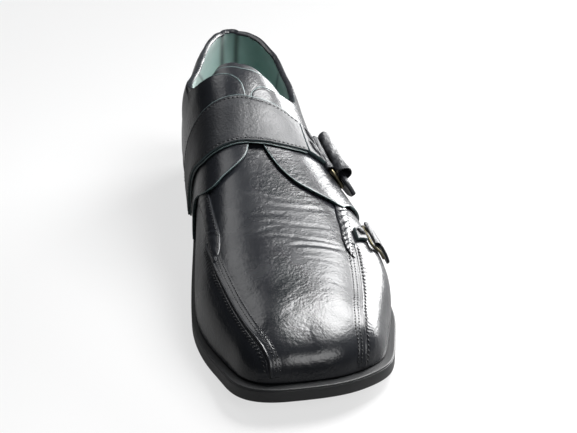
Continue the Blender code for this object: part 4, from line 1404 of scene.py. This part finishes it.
def lines_beside(path, distances, sign):
    """Lines at given distances beside a line on the last, positive away from the spine.

    Each small step moves every point at right angles to the line: the change in station and length down is
    found from the two directions in which the last's surface runs there.
    """
    def step(line, size):
        station = line[:, 0]
        side = OUTER if sign > 0 else INNER
        down = sign * np.minimum(np.abs(line[:, 1]), side.total(station) - 0.5)
        by_station = (on_last(station + 0.2, down) - on_last(station - 0.2, down)) / 0.4
        by_down = (on_last(station, down + sign * 0.2) - on_last(station, down - sign * 0.2)) / 0.4
        normal = np.cross(by_station, by_down)
        tangent = np.gradient(on_last(station, down), axis=0) + 1e-6 * by_station
        sideways = unit(np.cross(tangent, normal))
        sideways = sideways * np.sign(np.sum(sideways * by_down))
        a = np.sum(by_station ** 2, axis=1)
        b = np.sum(by_station * by_down, axis=1)
        c = np.sum(by_down ** 2, axis=1)
        p = np.sum(sideways * by_station, axis=1)
        q = np.sum(sideways * by_down, axis=1)
        scale = a * c - b * b
        moved = np.column_stack([(c * p - b * q) / scale, sign * (a * q - b * p) / scale])
        return line + moved * size

    found = {}
    for direction in (-1.0, 1.0):
        line = path.copy()
        reached = 0.0
        wanted = sorted([d for d in distances if d * direction > 0 or d == 0.0], key=abs)
        for distance in wanted:
            while abs(distance) - reached > 1e-9:
                size = min(ASIDE_STEP, abs(distance) - reached)
                line = step(line, size * direction)
                reached += size
            found[distance] = line.copy()
    return np.stack([found[distance] for distance in distances])


print("a line moves aside in steps of at most", ASIDE_STEP, "mm")

# %% Toe seams
OUTER_RIDGE = (
    # station, down
    (88.0, 40.4),
    (77.5, 39.6),
    (61.0, 37.8),
    (50.0, 36.2),
    (45.0, 36.3),
    (41.6, 38.4),
    (38.6, 41.6),
    (36.6, 45.4),
    (35.6, 49.0),
)
INNER_RIDGE = (
    # station, down
    (104.0, 40.4),
    (88.0, 38.8),
    (73.5, 37.6),
    (63.0, 36.8),
    (52.0, 35.6),
    (41.0, 33.2),
    (33.0, 31.2),
    (29.0, 30.8),
    (27.2, 32.6),
    (26.2, 36.0),
)
COARSE_PITCH = 2.4
FINE_PITCH = 1.9
FINE_ROWS = (
    # distance from the seam, height over the vamp
    (-4.9, 0.26),
    (-3.0, 0.55),
)
SEAM_IN = -6.4
SEAM_OUT = 8.4
seam_across = np.concatenate([
    np.linspace(SEAM_IN, -1.6, 14), np.linspace(-1.3, 0.9, 14), np.linspace(1.2, SEAM_OUT, 22),
])


def seam_height(x, run, total, coarse):
    """Height of the strip over the vamp, by distance x across the seam and by run along it.

    From its inner border the middle leather rises gently to the ridge, which falls away just past zero.
    Beyond it the gathered puckers are raised cosines along the seam that fade as x grows.
    """
    ramp = np.clip((x - SEAM_IN) / 5.6, 0.0, 1.0)
    ridge = 0.75 * ramp ** 2 * (3 - 2 * ramp) + 0.35 * np.exp(-((x + 0.5) / 0.5) ** 2)
    drop = 1.0 / (1.0 + np.exp((x - 0.15) / 0.09))
    valley = -0.25 * np.exp(-((x - 0.6) / 0.5) ** 2)
    dents = -0.08 * sum(np.exp(-((x - row[0]) / 0.5) ** 2) for row in FINE_ROWS)
    wander = 1.6 * np.sin(run / 7.3) + 0.5 * x * np.sin(run / 11.0) + 0.6 * np.sin(run / 2.9 + x)
    wave = 0.5 + 0.5 * np.cos(2 * math.pi * (run + 0.35 * wander) / COARSE_PITCH)
    reach = np.clip((x - 0.7) / 0.8, 0.0, 1.0) * np.exp(-np.clip(x - coarse, 0.0, 99.0) / 2.6)
    groove = -0.20 * np.exp(-((x - coarse) / 0.55) ** 2) * wave
    uneven = 0.55 + 0.45 * np.sin(run / 3.1 + 0.4 * x) * np.sin(run / 8.7)
    pucker = 0.21 * (1 - wave) * reach * uneven
    fade = np.clip(run / 5.0, 0.0, 1.0) * np.clip((total - run) / 3.0, 0.0, 1.0)
    border = np.clip((SEAM_OUT - x) / 2.0, 0.0, 1.0)
    base = -0.05 + 0.11 * np.clip(np.minimum(x - SEAM_IN, SEAM_OUT - x) / 2.2, 0.0, 1.0)
    raised = (ridge * drop + dents) * np.clip(run / 2.0, 0.0, 1.0)
    return base + raised + (valley + groove + pucker) * fade * border


stitches = []
for name, rows, side, sign, coarse in (
    ("seam_lateral", OUTER_RIDGE, OUTER, 1.0, 1.5),
    ("seam_medial", INNER_RIDGE, INNER, -1.0, 2.6),
):
    path = smooth_path(rows, 900)
    path = even_points(path[path[:, 1] < side.total(path[:, 0]) - 0.8], 260) * np.array([1.0, sign])
    lines = lines_beside(path, list(np.round(seam_across, 4)), sign)
    run = lengths(on_last(path[:, 0], path[:, 1]))
    height = seam_height(seam_across[:, None], run[None, :], run[-1], coarse)
    height[:, [0, -1]] = -0.15
    top = on_last(lines[..., 0], lines[..., 1], height)
    under = on_last(lines[..., 0], lines[..., 1], np.full(height.shape, -0.6))
    under[[0, -1]] = top[[0, -1]]
    under[:, [0, -1]] = top[:, [0, -1]]
    make_piece(name + "_strip", [top, under], CALF, [name])
    for offset, lift in FINE_ROWS:
        line = lines_beside(path, [offset], sign)[0]
        stitches.append(stitch_row(line[8:-6], lift, FINE_PITCH, 1.35, 0.55, 0.15))
    line = lines_beside(path, [coarse], sign)[0]
    stitches.append(stitch_row(line[10:-6], 0.12, COARSE_PITCH, 1.7, 0.75, 0.2, 0.9))

# %% [markdown]
# ## Tabs
# A tapered tab runs from under each flap to the start of its toe seam. It is sewn down along both edges with
# coarse thread, which pulls its surface into slanting puckers. They could be bump in the leather, but they
# are deep enough to show on the outline, so they are in the form.

# %% Tabs
TAB_LONG = 36.0
TAB_WIDE = 6.0
TAB_THICK = 1.0
TAB_MARGIN = 0.16


def share_rows(table, shares):
    """Read a table of rows at shares of its length, from 0 to 1."""
    table = np.asarray(table, float)
    return smooth_rows(np.column_stack([np.linspace(0.0, 1.0, len(table)), table]), shares)


def tab_relief(a, b):
    """Slanting puckers: cosines along the tab, turned by its width, with a soft rise in the middle."""
    wave = np.cos(2 * math.pi * (a * TAB_LONG + 5.0 * b + 0.8 * np.sin(11.0 * a)) / 3.6)
    pucker = 0.13 * wave * np.sin(math.pi * b) ** 0.5 * (0.7 + 0.3 * np.sin(23.0 * a))
    return 0.4 * np.sin(math.pi * b) + pucker


for name, rows, sign in (("tab_lateral", OUTER_TAB, 1.0), ("tab_medial", INNER_TAB, -1.0)):

    def tab_surface(a, b, lift, rows=rows, sign=sign):
        """Along the tab by a, across it by b."""
        edges = share_rows(rows, a)
        return on_last(edges[..., 0], sign * (edges[..., 1] + (edges[..., 2] - edges[..., 1]) * b), lift)

    stacks = sheet(
        tab_surface, cut_lines(110, TAB_LONG, TAB_THICK, 0.5), cut_lines(26, TAB_WIDE, TAB_THICK, 0.5),
        0.0, tab_relief,
    )[0]
    make_piece(name + "_leather", stacks, CALF, [name])
    table = share_rows(rows, np.linspace(0.02, 0.93, 120))
    for b in (TAB_MARGIN, 1 - TAB_MARGIN):
        down = table[:, 1] + (table[:, 2] - table[:, 1]) * b
        line = np.column_stack([table[:, 0], sign * down])
        stitches.append(stitch_row(line, TAB_THICK + 0.08, COARSE_PITCH, 1.7, 0.7, 0.2, 0.8))

# %% [markdown]
# ## The instep strap
# The strap crosses the instep from the inner side to the buckle. It is two layers of calf sewn together with
# coarse thread a little inside both edges. The thread sinks into the leather, so the edge between the
# stitches swells and looks scalloped. A Shrinkwrap modifier could lay a flat band on the shoe, but it would
# lose its width there. Here each point of the strap lies on the last at its own height. The lower layer
# shows as a second line under the front edge.

# %% The instep strap
STRAP_LIFT = 2.6
STRAP_THICK = 2.2
STRAP_WIDE = 29.0
UNDER_WIDE = 30.0
LAYER = 1.0
MARGIN = 1.5
SET_BACK = 0.7


def band_surface(table, pull=0.0):
    """A strap across the foot: along it by a, from its back edge to its front edge by b.

    The front edge may be pulled back by some millimetres. The strap's length comes back too.
    """
    middle = share_rows(table, np.linspace(0.0, 1.0, 400))
    run = lengths(on_last((middle[:, 2] + middle[:, 3]) / 2, (middle[:, 0] + middle[:, 1]) / 2))

    def surface(a, b, lift):
        edges = share_rows(table, np.interp(a, run / run[-1], np.linspace(0.0, 1.0, 400)))
        front = edges[..., 3] + pull
        down = edges[..., 0] + (edges[..., 1] - edges[..., 0]) * b
        station = edges[..., 2] + (front - edges[..., 2]) * b
        return on_last(station, down, lift)

    return surface, run[-1]


def edge_relief(long, wide):
    """A swell over the middle of a sewn strap, and dents where each stitch pulls it down near both edges."""
    def relief(a, b):
        beside = np.minimum(b, 1 - b) * wide
        wave = 0.5 + 0.5 * np.cos(2 * math.pi * a * long / COARSE_PITCH)
        channel = -0.30 * np.exp(-((beside - MARGIN) / 0.6) ** 2) * (0.35 + 0.65 * wave)
        return channel + 0.25 * np.clip((beside - MARGIN) / 5.0, 0.0, 1.0)

    return relief


under_surface, strap_length = band_surface(MAIN_STRAP)
stacks, edge = sheet(
    under_surface, cut_lines(160, strap_length, LAYER, 0.3), cut_lines(30, UNDER_WIDE, LAYER, 0.3),
    STRAP_LIFT,
)
make_piece("strap_main_under", stacks, STRAP_CALF, (), {"cut_edge": edge})
strap_surface, strap_length = band_surface(MAIN_STRAP, SET_BACK)
above = STRAP_THICK - LAYER
stacks, edge = sheet(
    strap_surface, cut_lines(300, strap_length, above, 0.45), cut_lines(70, STRAP_WIDE, above, 0.45),
    STRAP_LIFT + LAYER, edge_relief(strap_length, STRAP_WIDE),
)
make_piece("strap_main_leather", stacks, STRAP_CALF, ["strap_main"], {"cut_edge": edge})
strap_top = STRAP_LIFT + STRAP_THICK
for b in (MARGIN / STRAP_WIDE, 1 - MARGIN / STRAP_WIDE):
    stitches.append(sew(strap_surface, b, 0.01, 0.985, strap_top - 0.2, COARSE_PITCH, 1.75, 0.75, 0.22))
print("instep strap:", round(strap_length), "mm long")

# %% [markdown]
# ## The end plate
# At its outer end the strap carries a short plate with two leaf shaped windows, each filled with a
# rounded tongue of leather that catches the light. The windows could be cut with a Boolean, which breaks a
# smooth surface into slivers. A groove round each leaf and a bump inside it give the same sight on one
# even grid.

# %% The end plate
PLATE_LONG = 14.0
PLATE_WIDE = 21.5
PLATE_EDGE_LONG = 13.0
PLATE_LEAVES = (
    # share along, share across, half length, half width, tilt in radians
    (0.50, 0.28, 4.2, 2.8, 0.9),
    (0.52, 0.73, 4.4, 3.0, 0.9),
)


def leaf_relief(leaves, long, wide):
    """Leaf shapes on a plate of a given length and width: a groove round each outline, a bump inside.

    With u and v the place in millimetres from the middle of the leaf along it and across it, over its half
    length and half width, r = (|u|^1.5 + |v|^1.5)^(1/1.5) is 1 on the outline. The groove is a bell in
    r - 1, the bump follows 1 - r^2, and a low rim stands outside.
    """
    def relief(a, b):
        height = 0.0 * a
        for middle_a, middle_b, half_long, half_wide, tilt in leaves:
            x = (a - middle_a) * long
            y = (b - middle_b) * wide
            u = (x * math.cos(tilt) + y * math.sin(tilt)) / half_long
            v = (-x * math.sin(tilt) + y * math.cos(tilt)) / half_wide
            r = (np.abs(u) ** 1.5 + np.abs(v) ** 1.5) ** (1 / 1.5)
            height = height - 1.6 * np.exp(-((r - 1.0) / 0.2) ** 2)
            height = height + np.where(r < 1.0, 1.7 * (1 - r ** 2) - 0.2, 0.0)
            height = height + 0.35 * np.exp(-((r - 1.35) / 0.18) ** 2)
        return height

    return relief


plate_surface, plate_length = band_surface(MAIN_PLATE)
stacks, edge = sheet(
    plate_surface, cut_lines(110, PLATE_EDGE_LONG, STRAP_THICK, 0.5),
    cut_lines(150, PLATE_WIDE, STRAP_THICK, 0.5), STRAP_LIFT,
    leaf_relief(PLATE_LEAVES, PLATE_LONG, PLATE_WIDE),
)
make_piece("strap_plate_leather", stacks, STRAP_CALF, ["strap_plate"], {"cut_edge": edge})
print("end plate:", round(plate_length, 1), "mm long")

# %% [markdown]
# ## Rings, bars and tails
# Each strap ends in a buckle: a ring of cast brass, a bar wrapped in a roll of leather, and the tail of the
# strap that comes out below it. Curves with a bevel could make the rings, but a rod whose section keeps
# its own up and sideways lies flat on the shoe all round. The roll is a tube of leather whose end is open
# and dark inside, so its profile turns over the lip and runs back into the tube. The buckles are fastened,
# so nothing here moves.

# %% Rings
RING_WIRE = 2.5
SMALL_WIRE = 1.6
GAP = 0.35
SEAM_CLEAR = 0.2


def rounded_frame(corners, radius, steps=12):
    """A four cornered outline with its corners rounded by quadratic curves."""
    corners = np.asarray(corners, float)
    points = []
    for k, corner in enumerate(corners):
        start = corner + unit(corners[k - 1] - corner) * radius
        end = corner + unit(corners[(k + 1) % len(corners)] - corner) * radius
        t = np.linspace(0.0, 1.0, steps)[:, None]
        points.append((1 - t) ** 2 * start + 2 * t * (1 - t) * corner + t * t * end)
    points = np.vstack(points)
    return even_points(np.vstack([points, points[:1]]), 241)


def rod(path, lift, width, height, sides=20, squareness=2.0, straight=False):
    """A rod laid along a path on the last. Its section is a superellipse of the given squareness.

    With c and s the cosine and sine of the turn, a point stands |c|^(2 / squareness) half widths sideways
    and |s|^(2 / squareness) half heights up, each with its own sign. A straight rod takes one direction
    for all of its sections, so its path may turn back on itself.
    """
    centre = on_last(path[:, 0], path[:, 1], lift)
    normal = centre - on_last(path[:, 0], path[:, 1], lift - 1.0)
    if straight:
        tangent = np.broadcast_to(centre[len(path) // 2] - centre[0], centre.shape)
    else:
        tangent = np.gradient(centre, axis=0)
        if np.allclose(centre[0], centre[-1]):
            tangent[0] = tangent[-1] = centre[1] - centre[-2]
    tangent = unit(tangent)
    sideways = unit(np.cross(normal, tangent))
    upward = np.cross(tangent, sideways)
    turn = full_turn(sides)
    cosine = np.sign(np.cos(turn)) * np.abs(np.cos(turn)) ** (2 / squareness)
    sine = np.sign(np.sin(turn)) * np.abs(np.sin(turn)) ** (2 / squareness)
    wide = np.asarray(width, float) / 2
    high = np.asarray(height, float) / 2
    wide, high = (part[:, None] if part.ndim == 1 else part for part in (wide, high))
    return (
        centre[:, None]
        + sideways[:, None] * (cosine * wide)[..., None]
        + upward[:, None] * (sine * high)[..., None]
    )


ring_lift = QUARTER_TOP + GAP + RING_WIRE / 2
ring = rod(rounded_frame(RING_MAIN, 3.0), ring_lift, RING_WIRE, RING_WIRE, 20, 2.6)
make_piece("ring_main_brass", [ring], BRASS, ["ring_main"])
small_ring_lift = GAP + SMALL_WIRE / 2 + SEAM_CLEAR
ring = rod(rounded_frame(RING_SMALL, 2.0), small_ring_lift, SMALL_WIRE, SMALL_WIRE, 16, 2.6)
make_piece("ring_small_brass", [ring], BRASS, ["ring_small"])

# %% Leather rolls
BAR_WIDTH = 8.4
BAR_HEIGHT = 6.8
SMALL_BAR_WIDTH = 5.0
SMALL_BAR_HEIGHT = 2.4
LOOP_PATH = (
    # station, down
    (168.6, 40.6),
    (158.0, 42.2),
    (144.0, 44.8),
)


def leather_roll(path, lift, width, height, depth, lip, sides=56, steps=120, flare=0.0):
    """A tube of leather along a path: closed and soft at its start, open and hollow at its end.

    Along it the size grows from nothing as a quarter circle. At the end it turns over a round lip and runs
    back inside by depth. Wrinkles are small waves round it and along it.
    """
    long = lengths(on_last(path[:, 0], path[:, 1], lift))[-1]
    edge = lip / long
    start = [(0.3 * width * (1 - math.cos(t)) / long, math.sin(t)) for t in np.linspace(0.0, math.pi / 2, 10)]
    body = [(place, 1.0 + flare * place ** 3) for place in np.linspace(start[-1][0], 1 - edge, steps)[1:]]
    over = [
        (1 - edge + edge * math.sin(t), body[-1][1] - 2 * lip / width * (1 - math.cos(t)))
        for t in np.linspace(0.0, math.pi, 9)[1:]
    ]
    inside = [(1 - edge - depth / long * s, (1 - 4 * lip / width) * (1 - 0.25 * s)) for s in (0.3, 0.6, 1.0)]
    profile = np.array(start + body + over + inside + [(inside[-1][0], 0.0)])
    share = profile[:, :1]
    turn = np.linspace(0.0, 2 * math.pi, sides + 1)[None, :]
    wrinkle = (
        0.030 * np.sin(3 * turn + 9.0 * share)
        + 0.022 * np.sin(5 * turn - 16.0 * share + 1.0)
        + 0.018 * np.sin(2 * turn + 38.0 * share + 2.0)
        + 0.016 * np.sin(95.0 * share + 1.3 * np.sin(turn)) * (1 + np.cos(turn + 1.0)) / 2
    )
    outside = np.arange(len(profile))[:, None] < len(start) + len(body)
    size = profile[:, 1:] * (1 + wrinkle * np.where(outside, 1.0, 0.6))
    size[:, -1] = size[:, 0]
    return rod(at_shares(path, profile[:, 0]), lift, width * size, height * size, sides, straight=True)


bar_lift = ring_lift + RING_WIRE / 2 + GAP + BAR_HEIGHT / 2
small_bar_lift = small_ring_lift + SMALL_WIRE / 2 + GAP + SMALL_BAR_HEIGHT / 2
roll = leather_roll(smooth_path(BAR_MAIN), bar_lift, BAR_WIDTH, BAR_HEIGHT, 7.0, 0.5, flare=0.3)
make_piece("bar_main_roll", [roll], STRAP_CALF, ["bar_main"])
roll = leather_roll(
    smooth_path(BAR_SMALL), small_bar_lift, SMALL_BAR_WIDTH, SMALL_BAR_HEIGHT, 3.0, 0.3, 40, 70,
)
make_piece("bar_small_roll", [roll], STRAP_CALF, ["bar_small"])
roll = leather_roll(smooth_path(LOOP_PATH), ring_lift + 0.1, 6.0, 4.8, 2.0, 0.5, 40, 80)
make_piece("ring_loop", [roll], STRAP_CALF)

# %% Tails
TAIL_THICK = 2.6
TAIL_WIDE = 26.0
SMALL_TAIL_THICK = 1.5
SMALL_TAIL_WIDE = 12.0
# The part of the main tail that lies hidden under the bar
TAIL_ROOT = (
    # back down, front down, back station, front station
    (46.5, 50.5, 161.0, 137.0),
    (49.5, 53.5, 162.0, 134.5),
)


def tail_relief(a, b):
    """A soft swell along the middle of a tail."""
    return 0.9 * np.sin(math.pi * b) ** 0.8 * np.sin(math.pi * np.clip(a, 0.0, 1.0)) ** 0.5


tail_surface, tail_length = band_surface(TAIL_ROOT + TAIL_MAIN)
stacks = sheet(
    tail_surface, cut_lines(50, tail_length, TAIL_THICK, 1.2), cut_lines(60, TAIL_WIDE, TAIL_THICK, 1.2),
    bar_lift - BAR_HEIGHT / 2, tail_relief,
)[0]
make_piece("tail_main_leather", stacks, STRAP_CALF, ["tail_main"])
tail_surface, tail_length = band_surface(TAIL_SMALL)
stacks = sheet(
    tail_surface, cut_lines(50, tail_length, SMALL_TAIL_THICK, 0.6),
    cut_lines(40, SMALL_TAIL_WIDE, SMALL_TAIL_THICK, 0.6), small_bar_lift - SMALL_BAR_HEIGHT / 2,
)[0]
make_piece("tail_small_leather", stacks, STRAP_CALF, ["tail_small"])

# %% The small strap
SMALL_THICK = 2.0
SMALL_WIDE = 7.6
SMALL_LEAVES = (
    # share along, share across, half length, half width, tilt in radians
    (0.5, 0.45, 2.4, 1.5, 0.5),
)
small_surface, small_length = band_surface(SMALL_STRAP)
stacks, edge = sheet(
    small_surface, cut_lines(70, small_length, SMALL_THICK, 0.5), cut_lines(70, SMALL_WIDE, SMALL_THICK, 0.5),
    GAP, leaf_relief(SMALL_LEAVES, small_length, SMALL_WIDE),
)
make_piece("strap_small_leather", stacks, STRAP_CALF, ["strap_small"], {"cut_edge": edge})

# %% [markdown]
# ## Burnished edges
# The raw edges of the flaps, the strap and the tongue are rubbed round and waxed, which leaves a thin bead,
# paler than the leather. The bead could be painted by where the sheet's edge lies, but it is thinner than
# the sheet's faces there. So it is a fine rod carried along each edge.

# %% Burnished edges
BEAD = 0.62
TONGUE_BEAD = 0.7
BEAD_FROM_SOLE = 1.2


def bead(line, lift, thick):
    """A closed rod along a line of station and down: its size grows from nothing at both ends."""
    count = np.arange(len(line))
    size = thick * np.sqrt(np.clip(np.minimum(count, count[::-1]) / 4.0, 0.0, 1.0))
    return rod(line, lift, size, size, 10)


beads = []
for side, sign, facing, corner in (
    (OUTER, 1.0, OUTER_FACING, OUTER_CORNER),
    (INNER, -1.0, INNER_FACING, INNER_CORNER),
):
    line = smooth_path(facing[:0:-1] + corner, 900)
    line = line[line[:, 1] < side.total(line[:, 0]) - BEAD_FROM_SOLE]
    beads.append(bead(even_points(line, 420) * np.array([1.0, sign]), QUARTER_TOP - 0.25, BEAD))
rows = share_rows(MAIN_STRAP, np.linspace(0.0, 1.0, 400))
for edge_columns, lift in (([2, 0], strap_top - 0.35), ([3, 1], STRAP_LIFT + 0.6)):
    beads.append(bead(even_points(rows[:, edge_columns], 300), lift, BEAD))
seen = slice(20, -20)
lower = FRONT_LOWER * np.sin(math.pi * np.linspace(0.0, 1.0, len(tongue_top))) ** 2
line = np.column_stack([tongue_top[:, 1] - lower, tongue_top[:, 0]])[seen]
beads.append(bead(even_points(line, 200), TONGUE_LIFT - 0.2, TONGUE_BEAD))
make_piece("burnished_edges", beads, EDGE_WAX)

# %% [markdown]
# ## Sewing it all
# The two quarters meet at the back of the heel, where a row of stitches runs down on each side of the seam.
# With those the thread of the whole shoe is complete. Each row could be a piece of its own, but they share
# one finish, and one mesh of many small rods is lighter for Blender than a dozen objects.

# %% Sewing it all
BACK_ROW_STATION = 270.8
for sign, side in ((1.0, OUTER), (-1.0, INNER)):
    foot = float(side.total(BACK_ROW_STATION)) - 3.0
    line = np.column_stack([np.full(200, BACK_ROW_STATION), sign * np.linspace(35.5, foot, 200)])
    stitches.append(stitch_row(line, QUARTER_TOP - 0.1, 2.1, 1.5, 0.6, 0.16))
make_piece("stitches", stitches, THREAD)

# %% [markdown]
# ## The sole
# The sole is moulded rubber: an outsole with a raised toe and an arch, a thin welt that stands a trace
# inside its edge, a heel block and the top piece that touches the floor. Inside lies the insole with its
# sock of sheepskin. A flat plate could be bent by a modifier, but here all five are slabs between two
# heights read from the sole's side view, with the same outline moved in by a little. Each has its corners
# rounded, because no moulding has a sharp one.

# %% Helpers for the sole
EDGE_POINTS = 2400
sole_edge = closed_curve(SOLE_EDGE, EDGE_POINTS)
toe_point = int(np.argmin(sole_edge[:, 0]))
heel_point = int(np.argmax(sole_edge[:, 0]))


def sole_bottom(along):
    """Height of the outsole's underside."""
    return smooth_rows(SOLE_SIDE, along)[..., 0]


def bed_plus(height):
    """Heights at a fixed distance over the bed that the upper stands on, as a function of the place."""
    return lambda along: smooth_rows(SOLE_SIDE, along)[..., 1] + height


def level(height):
    """One height everywhere, as a function of the place."""
    return lambda along: 0.0 * along + height


def side_lines(outline, count, start=None):
    """A closed outline's outer and inner lines from toe to heel, as evenly spaced matching points."""
    outer = outline[toe_point:heel_point + 1]
    inner = np.roll(outline, -heel_point, axis=0)[:(toe_point - heel_point) % len(outline) + 1][::-1]
    lines = []
    for line in (outer, inner):
        if start is not None:
            first = (start, np.interp(start, line[:, 0], line[:, 1]))
            line = np.vstack([first, line[line[:, 0] > start]])
        lines.append(even_points(line, count))
    return lines


def slab(step, section, top, bottom, count=260, start=None, across=14):
    """Two half grids of a slab of the sole.

    section lists how far the edge stands in and how high it is, as a share of the way from bottom to top.
    Each is the outline moved in by that much. Between the innermost lines the faces run straight across. A
    slab with a start begins there with a flat front, which is the third grid.
    """
    rings = []
    for inset, share in section:
        rings.append([
            np.column_stack([
                line[:, 1], line[:, 0], (1 - share) * bottom(line[:, 0]) + share * top(line[:, 0]),
            ])
            for line in side_lines(inset_outline(sole_edge, step + inset), count, start)
        ])
    halves = []
    for half in (0, 1):
        columns = [ring[half] for ring in rings]
        for end, height in ((0, bottom), (-1, top)):
            middle = (rings[end][0] + rings[end][1]) / 2
            middle[:, 2] = height(middle[:, 1])
            t = np.linspace(0.0, 1.0, across)[:, None, None]
            inner = columns[end] + (middle - columns[end]) * t[1:]
            inner[..., 2] = height(inner[..., 1])
            columns = list(inner[::-1]) + columns if end == 0 else columns + list(inner)
        halves.append(np.stack(columns, axis=1))
    front = [] if start is None else [np.stack([halves[0][0], halves[1][0]], axis=0)]
    return halves + front


def round_section(low, high, thick, steps=5):
    """A section with its lower and upper corners rounded: two quarter circles of the given radii."""
    turn = np.linspace(0.0, math.pi / 2, steps)
    lower = [(low * (1 - math.sin(t)), low * (1 - math.cos(t)) / thick) for t in turn]
    upper = [(high * (1 - math.cos(t)), 1 - high * (1 - math.sin(t)) / thick) for t in turn]
    return lower + upper


print("toe at", sole_edge[toe_point].round(1), "heel at", sole_edge[heel_point].round(1))

# %% The sole
WELT_DROP = 0.9
WELT_THICK = 1.2
WELT_INSET = 0.25
INSOLE_CLEAR = 0.6
INSOLE_HEIGHT = 3.0
TOP_PIECE_HEIGHT = 6.0
HEEL_STEP = 0.9
HEEL_BREAST = 228.0
outsole = slab(0.0, round_section(0.9, 0.5, 8.0), bed_plus(-WELT_DROP), sole_bottom)
make_piece("outsole_rubber", outsole, RUBBER, ["outsole"])
welt = slab(WELT_INSET, round_section(0.2, 0.6, WELT_THICK), bed_plus(0.0), bed_plus(-WELT_THICK))
make_piece("welt_rubber", welt, RUBBER, ["welt"])
ledge = smooth_rows(RIBS, sole_edge[:, 0])[:, 1]
insole = slab(
    ledge + WALL + INSOLE_CLEAR, round_section(0.4, 1.4, INSOLE_HEIGHT),
    bed_plus(BED_GAP + INSOLE_HEIGHT), bed_plus(BED_GAP), 160,
)
make_piece("insole_sock", insole, SHEEPSKIN, ["insole"])
block = slab(HEEL_STEP, round_section(0.4, 0.5, 12.0), sole_bottom, level(TOP_PIECE_HEIGHT), 140, HEEL_BREAST)
make_piece("heel_block_rubber", block, RUBBER, ["heel_block"])
top_piece = slab(
    HEEL_STEP, round_section(0.7, 0.4, TOP_PIECE_HEIGHT), level(TOP_PIECE_HEIGHT), level(0.0),
    140, HEEL_BREAST,
)
make_piece("heel_top_rubber", top_piece, RUBBER, ["heel_top_piece"])
